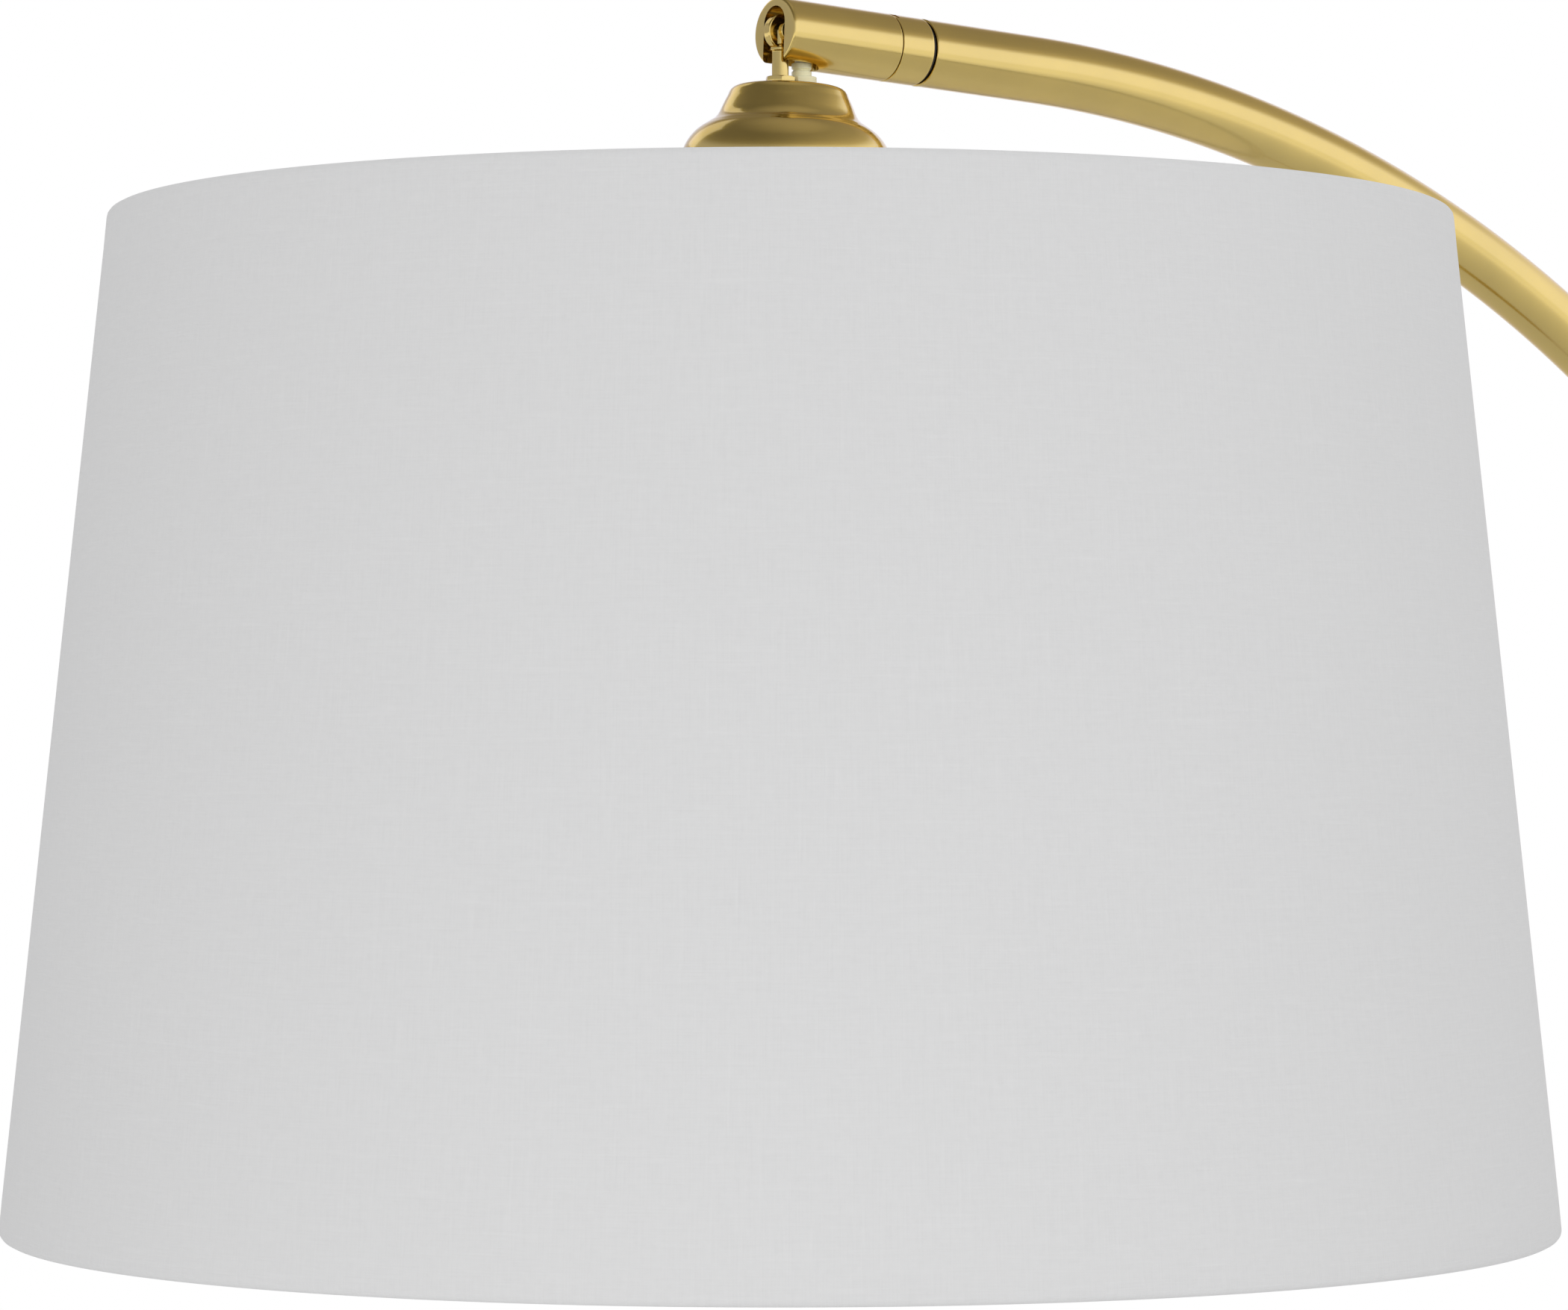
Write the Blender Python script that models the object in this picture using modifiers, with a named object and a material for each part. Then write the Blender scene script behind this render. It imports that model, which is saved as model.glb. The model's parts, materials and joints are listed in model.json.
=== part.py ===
"""Arc floor lamp: a round weighted base, a pole in sections, an arched arm, and a drum shade
that hangs from a slotted knuckle at the arm's end.

Metres, +Z up. The origin is on the floor under the pole, and the arm reaches towards -X in the XZ plane.
"""

import math

import bmesh
import bpy
from mathutils import Matrix, Vector

MODEL = "arc_floor_lamp"

# Clearances
GAP = 0.0003  # between pieces that rest on or sit in each other
RUNNING = 0.0003  # round a pin or spigot that turns

# Tube of the pole and the arm
TUBE_R = 0.0100
TUBE_WALL = 0.0012
TUBE_STEPS = 20
LEAD_R = 0.0020
LEAD_WAY_R = 0.0035  # bore left for the lead in every fitting

# Arm: a straight end, an arc, a straight foot
ARM_SLOPE = math.radians(2.52)
ARM_STRAIGHT = 0.0925  # from the pivot to the start of the arc
ARC_R = 0.457
ARC_STEPS = 18
ARM_FOOT = 0.060

# Pole
SECTION_LENGTH = 0.395
SECTIONS = 3
JOINT_RING = 0.0040
PLUG_LENGTH = 0.0160
STUD_R = 0.0060
STUD_LENGTH = 0.0137

# Base
BASE_R = 0.140
BASE_HEIGHT = 0.022
BASE_CORNER_R = 0.008
COVER_WALL = 0.0012
COVER_LIFT = 0.0010  # the cover's rim stays this far off the floor
BASE_STEPS = 48
PAD_THICKNESS = 0.0030
PAD_INSET = 0.0060
WEIGHT_INSET = 0.0018
NUT_POCKET_R = 0.0170
NUT_POCKET_DEPTH = 0.0097
NIPPLE_R = 0.0050
NIPPLE_BORE_R = 0.0033
NIPPLE_LOW = 0.0045
NIPPLE_STANDS = 0.0160  # above the cover
BASE_NUT_FLATS = 0.0170
BASE_NUT_HEIGHT = 0.0050
BASE_WASHER_R = 0.0120
BASE_WASHER_THICKNESS = 0.0015
FLANGE_R = 0.0240
FLANGE_HEIGHT = 0.0147
FLANGE_NECK_R = 0.0123
INLET_Z = 0.0080
INLET_BODY_R = 0.0042
INLET_FLANGE_R = 0.0060
INLET_FLANGE = 0.0015
INLET_BORE_R = 0.0030

# Knuckle, measured from the pivot along the arm
BARREL_TIP = -0.0022
BARREL_SEAM = 0.0375
BARREL_CHAMFER = 0.0006
COLLAR_LENGTH = 0.0115
SLOT_HALF = 0.0051
SLOT_CROWN = 0.0024  # the slot's round top is centred this far above the axis
SLOT_END = 0.0130
RING_CHAMBER_R = 0.0073
RING_CHAMBER_START = 0.0160
RING_CHAMBER_END = 0.0270
SPIGOT_R = 0.0060
SPIGOT_END = 0.0245
RING_GROOVE_DEPTH = 0.0010
RING_WIDTH = 0.0008
RING_R = 0.0070
WASHER_INSET = 0.0007  # the washer's edge stays this far inside the tube's
SWIVEL_WASHER = 0.0005
KEY_LENGTH = 0.0014
KEY_WIDTH = 0.0020
KEY_ANGLE = math.radians(206)  # round the arm from straight down, on the near side, low

# Hanger
EYE_R = 0.0051
EYE_THICKNESS = 0.0028
PIN_R = 0.0015
PIN_BLIND = 0.0030  # depth of the pin's hole in the near cheek
SPACER_R = 0.0027
STEM_R = 0.00245
STEM_BEAD_R = 0.0029
STEM_BEAD_DROP = 0.0046  # below the pivot
PIVOT_ABOVE_RIM = 0.0541  # from the shade's top edge to the pivot

# Shade
SHADE_TOP_R = 0.1945
SHADE_BOTTOM_R = 0.2250
SHADE_HEIGHT = 0.2938
SHADE_STEPS = 48
FABRIC = 0.0005
LINER = 0.0004
WIRE_R = 0.0015
TURN_IN = 0.0110
HEM_EASE = 0.0003  # the hem is this much steeper than the cone
ARM_WIRE_R = 0.0018
SPIDER_ARMS = 3
SPIDER_TURN = math.radians(30)
NOTCH = 0.0005

# Cap over the socket, measured up from the shade's top edge
SOCKET_OFFSET = 0.0023  # the stem and the bush stand either side of the socket's axis
CAP_LEAN = math.radians(2.4)  # the cap sits tilted on its stem, lower on the pole's side
CAP_FOOT_OFFSET = 0.0015
CAP_LIP = 0.0018
CAP_TOP = 0.0387
CAP_WALL = 0.0010
CAP_R = 0.0310
CAP_SEAT_R = 0.0135  # flat for the nut and the bush
CAP_SHOULDER_R = 0.0031
CAP_SHOULDER = (0.0145, 0.0352)
CAP_WAIST = (0.0197, 0.0311)
CAP_FLARE = (0.0210, 0.0294)
CAP_GROOVE = (0.0221, 0.0281)
CAP_DOME_R = 0.0138
CAP_DOME_Z = 0.0148
CAP_STEPS = 32
NUT_FLATS = 0.0080
NUT_HEIGHT = 0.0018
LOCK_NUT_HEIGHT = 0.0030

# Cable bush
BUSH_FROM_STEM = 0.0077
BUSH_R = 0.00295
BUSH_FLANGE_R = 0.00445
BUSH_FLANGE = 0.0022
BUSH_HEIGHT = 0.0062
BUSH_TAIL = 0.0041
BUSH_BORE_R = 0.0023
BUSH_GROOVE = 0.0004

# Bracket between the cap and the socket
BRACKET_STRIP = 0.0015
BRACKET_WIDTH = 0.0120
BRACKET_HALF = 0.0105
BRACKET_FOOT = 0.0055
SCREW_R = 0.0015
SCREW_HEAD_R = 0.0026
SCREW_HEAD = 0.0016
SCREW_DEPTH = 0.0060

# Socket, heights from the shade's top edge
SOCKET_TOP_Z = 0.0210
SOCKET_NECK_R = 0.0170
SOCKET_THREAD_R = 0.0193
SOCKET_THREAD_TOP = 0.0080
SOCKET_THREAD_LOW = -0.0140
SOCKET_R = 0.0182
SOCKET_LENGTH = 0.0870
SOCKET_WALL = 0.0030
SOCKET_FLOOR_Z = -0.0370
SOCKET_CHAMBER_R = 0.0120
CHAMBER_TOP_Z = -0.0170
CHAMBER_LOW_Z = -0.0340
WIRE_HOLE_R = 0.0030
SHELL_WALL = 0.0009
SHELL_HOLE_R = 0.0055
CONTACT_R = 0.0042
CONTACT_DROP = 0.0027
RING_NUT_R = 0.0270
RING_NUT_BODY_R = 0.0225
RING_NUT_HEIGHT = 0.0080
FITTER_R = 0.0330
FITTER_THICKNESS = 0.0016

# Switch
SHAFT_Z = -0.0255
SHAFT_R = 0.0019
SHAFT_INNER = 0.0035
SHAFT_OUTER = 0.0300
CAM_R = 0.0055
CAM_LENGTH = 0.0055
KNOB_R = 0.0060
KNOB_LENGTH = 0.0140
KNOB_START = 0.0200
KNOB_BORE = 0.0110

# Bulb
BULB_BASE_R = 0.0132
BULB_TIP_R = 0.0045
BULB_NECK_R = 0.0142
BULB_R = 0.0300
BULB_LENGTH = 0.0800
BULB_WALL = 0.0012


# Places worked out from the sizes above
NUT_CORNER_R = NUT_FLATS / 2 / math.cos(math.pi / 6)
CAP_TOP_OFFSET = CAP_FOOT_OFFSET + CAP_TOP * math.sin(CAP_LEAN)
# The nut clears the tilted cap's high side and the bracket clears its low side
SEAT_Z = CAP_TOP + (NUT_CORNER_R + CAP_TOP_OFFSET) * math.tan(CAP_LEAN) + GAP
UNDER_CAP_FROM_MIDDLE = BRACKET_HALF + SOCKET_OFFSET - CAP_TOP_OFFSET
UNDER_CAP_Z = CAP_TOP - CAP_WALL - UNDER_CAP_FROM_MIDDLE * math.tan(CAP_LEAN) - GAP
SECTION_FOOT = BASE_HEIGHT + 2 * GAP
SECTION_PITCH = SECTION_LENGTH + JOINT_RING + 2 * GAP
ARM_FOOT_Z = SECTION_FOOT + SECTIONS * SECTION_PITCH
ARC_CENTRE = Vector((-ARC_R, 0, ARM_FOOT_Z + ARM_FOOT))
ARC_START = ARC_CENTRE + ARC_R * Vector((math.sin(ARM_SLOPE), 0, math.cos(ARM_SLOPE)))
ARM_DIRECTION = Vector((math.cos(ARM_SLOPE), 0, -math.sin(ARM_SLOPE)))
PIVOT = ARC_START - ARM_STRAIGHT * ARM_DIRECTION
COLLAR_START = BARREL_SEAM + GAP
COLLAR_END = COLLAR_START + COLLAR_LENGTH
WASHER_START = COLLAR_END + GAP
ARM_END = WASHER_START + SWIVEL_WASHER + GAP
TUBE_BORE_R = TUBE_R - TUBE_WALL
PLUG_R = TUBE_BORE_R - 0.0004
SWIVEL_WASHER_R = TUBE_R - WASHER_INSET
RIM = -PIVOT_ABOVE_RIM  # the shade's top edge, from the pivot
SOCKET_LOW_Z = SOCKET_TOP_Z - SOCKET_LENGTH
SHELL_R = SOCKET_R - SOCKET_WALL - 0.0004


# ---------------------------------------------------------------- scene and materials


def clear_scene():
    for obj in list(bpy.data.objects):
        bpy.data.objects.remove(obj, do_unlink=True)


def new_collection(name):
    collection = bpy.data.collections.new(name)
    bpy.context.scene.collection.children.link(collection)
    return collection


def material(name, colour, roughness, metallic=0.0):
    made = bpy.data.materials.new(name)
    made.use_nodes = True
    shader = made.node_tree.nodes["Principled BSDF"]
    shader.inputs["Base Color"].default_value = (*colour, 1.0)
    shader.inputs["Roughness"].default_value = roughness
    shader.inputs["Metallic"].default_value = metallic
    made.diffuse_color = (*colour, 1.0)
    return made


clear_scene()
PARTS = new_collection(MODEL)
CUTTERS = new_collection("cutters")

BRASS = material("satin_brass", (0.58, 0.43, 0.18), 0.32, 1.0)
STEEL = material("zinc_steel", (0.55, 0.55, 0.56), 0.40, 1.0)
IRON = material("cast_iron", (0.06, 0.06, 0.06), 0.75, 0.6)
CONTACT = material("contact_brass", (0.62, 0.47, 0.20), 0.30, 1.0)
LINEN = material("linen_fabric", (0.66, 0.66, 0.66), 0.90)
STYRENE = material("white_styrene", (0.86, 0.85, 0.82), 0.45)
RUBBER = material("black_rubber", (0.03, 0.03, 0.03), 0.80)
NYLON = material("black_nylon", (0.02, 0.02, 0.02), 0.50)
CREAM = material("cream_plastic", (0.85, 0.78, 0.58), 0.35)
LEAD_PLASTIC = material("lead_plastic", (0.84, 0.79, 0.66), 0.40)
PHENOLIC = material("black_phenolic", (0.025, 0.022, 0.020), 0.35)
OPAL = material("opal_glass", (0.90, 0.90, 0.88), 0.20)


def empty(name, location, rotation=(0, 0, 0), parent=None):
    made = bpy.data.objects.new(name, None)
    made.empty_display_size = 0.02
    made.location = location
    made.rotation_euler = rotation
    made.parent = parent
    PARTS.objects.link(made)
    return made


def place(obj, parent, location=(0, 0, 0), rotation=(0, 0, 0)):
    obj.parent = parent
    obj.location = location
    obj.rotation_euler = rotation
    return obj


def as_cutter(obj):
    obj.hide_render = True
    obj.display_type = "WIRE"
    return obj


# ---------------------------------------------------------------- shapes


def arc_points(centre, radius, start, end, count):
    """Points on an arc in the (radius, height) plane, angles in degrees from straight out."""
    angles = (math.radians(start + (end - start) * i / (count - 1)) for i in range(count))
    return [(centre[0] + radius * math.cos(a), centre[1] + radius * math.sin(a)) for a in angles]


def offset_path(path, distance):
    """The path moved sideways, to the left of its direction, with mitred corners."""
    moved = []
    for i, here in enumerate(path):
        sides = []
        if i > 0:
            sides.append(Vector(here) - Vector(path[i - 1]))
        if i < len(path) - 1:
            sides.append(Vector(path[i + 1]) - Vector(here))
        normals = [Vector((-s.y, s.x)).normalized() for s in sides]
        bisector = sum(normals, Vector((0, 0))).normalized()
        reach = distance / bisector.dot(normals[0])
        moved.append(tuple(Vector(here) + reach * bisector))
    return moved


def ribbon(path, thickness):
    """Closed outline of a wall that has the path as its middle."""
    return offset_path(path, thickness / 2) + offset_path(path, -thickness / 2)[::-1]


def runs_down_outside(outline):
    area = 0.0
    for (r0, z0), (r1, z1) in zip(outline, outline[1:] + outline[:1]):
        area += r0 * z1 - r1 * z0
    return area < 0


def mesh_object(name, mesh, finish, collection):
    obj = bpy.data.objects.new(name, mesh)
    if finish:
        mesh.materials.append(finish)
    collection.objects.link(obj)
    return obj


def turned(name, outline, finish=None, steps=TUBE_STEPS, collection=None):
    """A solid turned about its own Z: an outline that starts on the axis ends there, others are closed."""
    if not runs_down_outside(outline):
        outline = outline[::-1]
    mesh = bpy.data.meshes.new(name)
    count = len(outline)
    edges = [(i, i + 1) for i in range(count - 1)]
    if outline[0][0] > 0:
        edges.append((count - 1, 0))
    mesh.from_pydata([(r, 0, z) for r, z in outline], edges, [])
    obj = mesh_object(name, mesh, finish, collection or PARTS)
    screw = obj.modifiers.new("Screw", "SCREW")
    screw.steps = steps
    screw.render_steps = steps
    screw.use_merge_vertices = True
    screw.merge_threshold = 0.00001
    screw.use_smooth_shade = True
    return obj


def cylinder_cutter(name, radius, low, high, steps=TUBE_STEPS):
    outline = [(0, high), (radius, high), (radius, low), (0, low)]
    return as_cutter(turned(name, outline, None, steps, CUTTERS))


def ring(outer_r, inner_r, low, high):
    return [(inner_r, high), (outer_r, high), (outer_r, low), (inner_r, low)]


def curve_mesh(name, curve, finish, collection):
    """The curve's mesh, welded closed, in an object of its own."""
    guide = bpy.data.objects.new(name + "_curve", curve)
    collection.objects.link(guide)
    depsgraph = bpy.context.evaluated_depsgraph_get()
    mesh = bpy.data.meshes.new_from_object(guide.evaluated_get(depsgraph))
    bpy.data.objects.remove(guide, do_unlink=True)
    shape = bmesh.new()
    shape.from_mesh(mesh)
    bmesh.ops.remove_doubles(shape, verts=shape.verts, dist=0.00001)
    bmesh.ops.recalc_face_normals(shape, faces=shape.faces)
    shape.to_mesh(mesh)
    shape.free()
    mesh.name = name
    return mesh_object(name, mesh, finish, collection)


def plate(name, loops, thickness, finish=None, collection=None):
    """A flat piece in its own XY plane, its middle at Z = 0: first loop the edge, the others holes."""
    curve = bpy.data.curves.new(name, "CURVE")
    curve.dimensions = "2D"
    curve.fill_mode = "BOTH"
    curve.extrude = thickness / 2
    for loop in loops:
        spline = curve.splines.new("POLY")
        spline.points.add(len(loop) - 1)
        for point, (x, y) in zip(spline.points, loop):
            point.co = (x, y, 0, 1)
        spline.use_cyclic_u = True
    return curve_mesh(name, curve, finish, collection or PARTS)


def polygon(radius, sides, turn=0.0):
    angles = (turn + 2 * math.pi * i / sides for i in range(sides))
    return [(radius * math.cos(a), radius * math.sin(a)) for a in angles]


def hex_nut(name, across_flats, height, bore_r, finish):
    """A nut with a flat towards its own +X, bottom at Z = 0."""
    corner_r = across_flats / 2 / math.cos(math.pi / 6)
    loops = [polygon(corner_r, 6, math.pi / 6), polygon(bore_r, 16)]
    obj = plate(name, loops, height, finish)
    obj.data.transform(Matrix.Translation((0, 0, height / 2)))
    return obj


def spline_path(name, points, radius, resolution, caps):
    curve = bpy.data.curves.new(name, "CURVE")
    curve.dimensions = "3D"
    curve.bevel_depth = radius
    curve.bevel_resolution = resolution
    curve.use_fill_caps = caps
    spline = curve.splines.new("POLY")
    spline.points.add(len(points) - 1)
    for target, point in zip(spline.points, points):
        target.co = (*point, 1)
    return curve


def lead(name, points, parent):
    curve = spline_path(name, points, LEAD_R, 2, True)
    curve.materials.append(LEAD_PLASTIC)
    obj = bpy.data.objects.new(name, curve)
    PARTS.objects.link(obj)
    return place(obj, parent)


def boolean(obj, other, operation):
    step = obj.modifiers.new(operation.title(), "BOOLEAN")
    step.operation = operation
    step.solver = "EXACT"
    step.object = other
    return obj


# ---------------------------------------------------------------- base


def base(stand):
    inner_r = BASE_R - COVER_WALL
    corner = (BASE_R - BASE_CORNER_R, BASE_HEIGHT - BASE_CORNER_R)
    hole_r = NIPPLE_R + 2 * GAP
    outer = [(hole_r, BASE_HEIGHT)] + arc_points(corner, BASE_CORNER_R, 90, 0, 4) + [(BASE_R, COVER_LIFT)]
    inner_corner_r = BASE_CORNER_R - COVER_WALL
    inner = [(hole_r, BASE_HEIGHT - COVER_WALL)] + arc_points(corner, inner_corner_r, 90, 0, 4)
    inner.append((inner_r, COVER_LIFT))
    cover = place(turned("base_cover", outer + inner[::-1], BRASS, BASE_STEPS), stand)

    inlet = empty("inlet", (BASE_R, 0, INLET_Z), (0, math.radians(90), 0), stand)
    inlet_hole = cylinder_cutter("inlet_hole", INLET_BODY_R + GAP, -0.006, 0.006, 16)
    boolean(cover, place(inlet_hole, inlet), "DIFFERENCE")
    grommet = [
        (INLET_BORE_R, INLET_FLANGE + GAP),
        (INLET_FLANGE_R - 0.0005, INLET_FLANGE + GAP),
        (INLET_FLANGE_R, GAP),
        (INLET_BODY_R, GAP),
        (INLET_BODY_R, -COVER_WALL - 0.0020),
        (INLET_BORE_R, -COVER_WALL - 0.0020),
    ]
    place(turned("cord_inlet_grommet", grommet, RUBBER, 16), inlet)

    low = PAD_THICKNESS + GAP
    high = BASE_HEIGHT - COVER_WALL - GAP
    weight_r = inner_r - WEIGHT_INSET
    outline = [
        (hole_r, high),
        (weight_r - BASE_CORNER_R, high),
        (weight_r, high - BASE_CORNER_R),
        (weight_r, low),
        (NUT_POCKET_R, low),
        (NUT_POCKET_R, low + NUT_POCKET_DEPTH),
        (hole_r, low + NUT_POCKET_DEPTH),
    ]
    weight = place(turned("base_weight", outline, IRON, BASE_STEPS), stand)
    half = INLET_BODY_R + 0.0020
    way = [(0.0125, -half), (BASE_R, -half), (BASE_R, half), (0.0125, half)]
    channel = as_cutter(plate("cord_channel", [way], 2 * (INLET_Z + half), None, CUTTERS))
    boolean(weight, place(channel, stand), "DIFFERENCE")

    pad_r = BASE_R - PAD_INSET
    pad = [(0, PAD_THICKNESS), (pad_r, PAD_THICKNESS), (pad_r, 0), (0, 0)]
    place(turned("base_pad", pad, RUBBER, BASE_STEPS), stand)

    pocket_top = low + NUT_POCKET_DEPTH
    washer_low = pocket_top - GAP - BASE_WASHER_THICKNESS
    washer = ring(BASE_WASHER_R, NIPPLE_R + GAP, washer_low, washer_low + BASE_WASHER_THICKNESS)
    place(turned("base_washer", washer, STEEL), stand)
    nut = hex_nut("base_nut", BASE_NUT_FLATS, BASE_NUT_HEIGHT, NIPPLE_R + GAP, STEEL)
    place(nut, stand, (0, 0, washer_low - GAP - BASE_NUT_HEIGHT))
    nipple = ring(NIPPLE_R, NIPPLE_BORE_R, NIPPLE_LOW, BASE_HEIGHT + NIPPLE_STANDS)
    place(turned("pole_nipple", nipple, STEEL), stand)

    foot = BASE_HEIGHT + GAP
    bore_r = TUBE_R + GAP
    flange = [
        (bore_r, foot + FLANGE_HEIGHT),
        (FLANGE_NECK_R, foot + FLANGE_HEIGHT),
        (FLANGE_NECK_R, foot + 0.7 * FLANGE_HEIGHT),
        (FLANGE_NECK_R + 0.0032, foot + 0.35 * FLANGE_HEIGHT),
        (FLANGE_R, foot + 0.0020),
        (FLANGE_R, foot),
        (bore_r, foot),
    ]
    place(turned("pole_flange", flange, BRASS, 24), stand)


# ---------------------------------------------------------------- pole


def insert(number, stand, foot, bore_r):
    outline = ring(PLUG_R, bore_r, foot, foot + PLUG_LENGTH)
    place(turned(f"pole_insert_{number}", outline, STEEL), stand)


def pole(stand):
    names = ["pole_lower", "pole_middle", "pole_upper"]
    for number in range(SECTIONS):
        foot = SECTION_FOOT + number * SECTION_PITCH
        top = foot + SECTION_LENGTH
        name = names[number] if number < len(names) else f"pole_section_{number + 1}"
        place(turned(name, ring(TUBE_R, TUBE_BORE_R, foot, top), BRASS), stand)
        insert(number + 1, stand, foot, (NIPPLE_R if number == 0 else STUD_R) + GAP)
        ring_low = top + GAP
        ring_top = ring_low + JOINT_RING
        joint = [
            (LEAD_WAY_R, ring_top + STUD_LENGTH),
            (STUD_R, ring_top + STUD_LENGTH),
            (STUD_R, ring_top),
            (TUBE_R, ring_top),
            (TUBE_R, ring_low),
            (PLUG_R, ring_low),
            (PLUG_R, top - PLUG_LENGTH),
            (LEAD_WAY_R, top - PLUG_LENGTH),
        ]
        place(turned(f"pole_joint_{number + 1}", joint, BRASS), stand)
    insert(SECTIONS + 1, stand, ARM_FOOT_Z, STUD_R + GAP)


# ---------------------------------------------------------------- arm


def arm_route(tube_start):
    """The arm's centre line, from its end by the knuckle down to its foot."""
    points = [PIVOT + tube_start * ARM_DIRECTION]
    for i in range(ARC_STEPS + 1):
        angle = ARM_SLOPE + (math.pi / 2 - ARM_SLOPE) * i / ARC_STEPS
        points.append(ARC_CENTRE + ARC_R * Vector((math.sin(angle), 0, math.cos(angle))))
    return points


def arm(stand, arm_end):
    points = arm_route(ARM_END) + [Vector((0, 0, ARM_FOOT_Z))]
    skin = spline_path("arc_tube", points, TUBE_R, 8, False)
    tube = place(curve_mesh("arc_tube", skin, BRASS, PARTS), stand)
    shell = tube.modifiers.new("Wall", "SOLIDIFY")
    shell.thickness = TUBE_WALL
    shell.offset = -1

    groove_low = SPIGOT_END + 0.0010
    groove_high = RING_CHAMBER_END - 0.0001
    groove_r = SPIGOT_R - RING_GROOVE_DEPTH
    plug = [
        (LEAD_WAY_R, ARM_END + PLUG_LENGTH),
        (PLUG_R, ARM_END + PLUG_LENGTH),
        (PLUG_R, ARM_END),
        (SPIGOT_R, ARM_END),
        (SPIGOT_R, groove_high),
        (groove_r, groove_high),
        (groove_r, groove_low),
        (SPIGOT_R, groove_low),
        (SPIGOT_R, SPIGOT_END),
        (LEAD_WAY_R, SPIGOT_END),
    ]
    place(turned("arm_end_plug", plug, STEEL), arm_end)

    span = math.radians(310)
    count = 22
    sweep = [(i / (count - 1) - 0.5) * span for i in range(count)]
    inner_r = groove_r + RUNNING
    loop = [(RING_R * math.cos(a), RING_R * math.sin(a)) for a in sweep]
    loop += [(inner_r * math.cos(a), inner_r * math.sin(a)) for a in reversed(sweep)]
    clip = plate("retaining_ring", [loop], RING_WIDTH, STEEL)
    place(clip, arm_end, (0, 0, groove_high - GAP - RING_WIDTH / 2))

    washer = ring(SWIVEL_WASHER_R, SPIGOT_R + RUNNING, WASHER_START, WASHER_START + SWIVEL_WASHER)
    place(turned("swivel_washer", washer, NYLON), arm_end)

    route = [PIVOT + (SPIGOT_END + 0.0010) * ARM_DIRECTION] + arm_route(ARM_END)[1:]
    lead("lead_in_stand", route + [Vector((0, 0, NIPPLE_LOW + 0.0020))], stand)


# ---------------------------------------------------------------- knuckle


def key_block(name, grow):
    """A small block at the barrel's seam, outside the spigot, low on the near side."""
    half = KEY_WIDTH / 2 + grow
    low_r = SPIGOT_R + 0.0012 - grow
    high_r = TUBE_R - 0.0002 + 4 * grow
    block = plate(name, [[(low_r, -half), (high_r, -half), (high_r, half), (low_r, half)]],
                  KEY_LENGTH + 0.0010 + 2 * grow, None, CUTTERS)
    return as_cutter(block)


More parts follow.
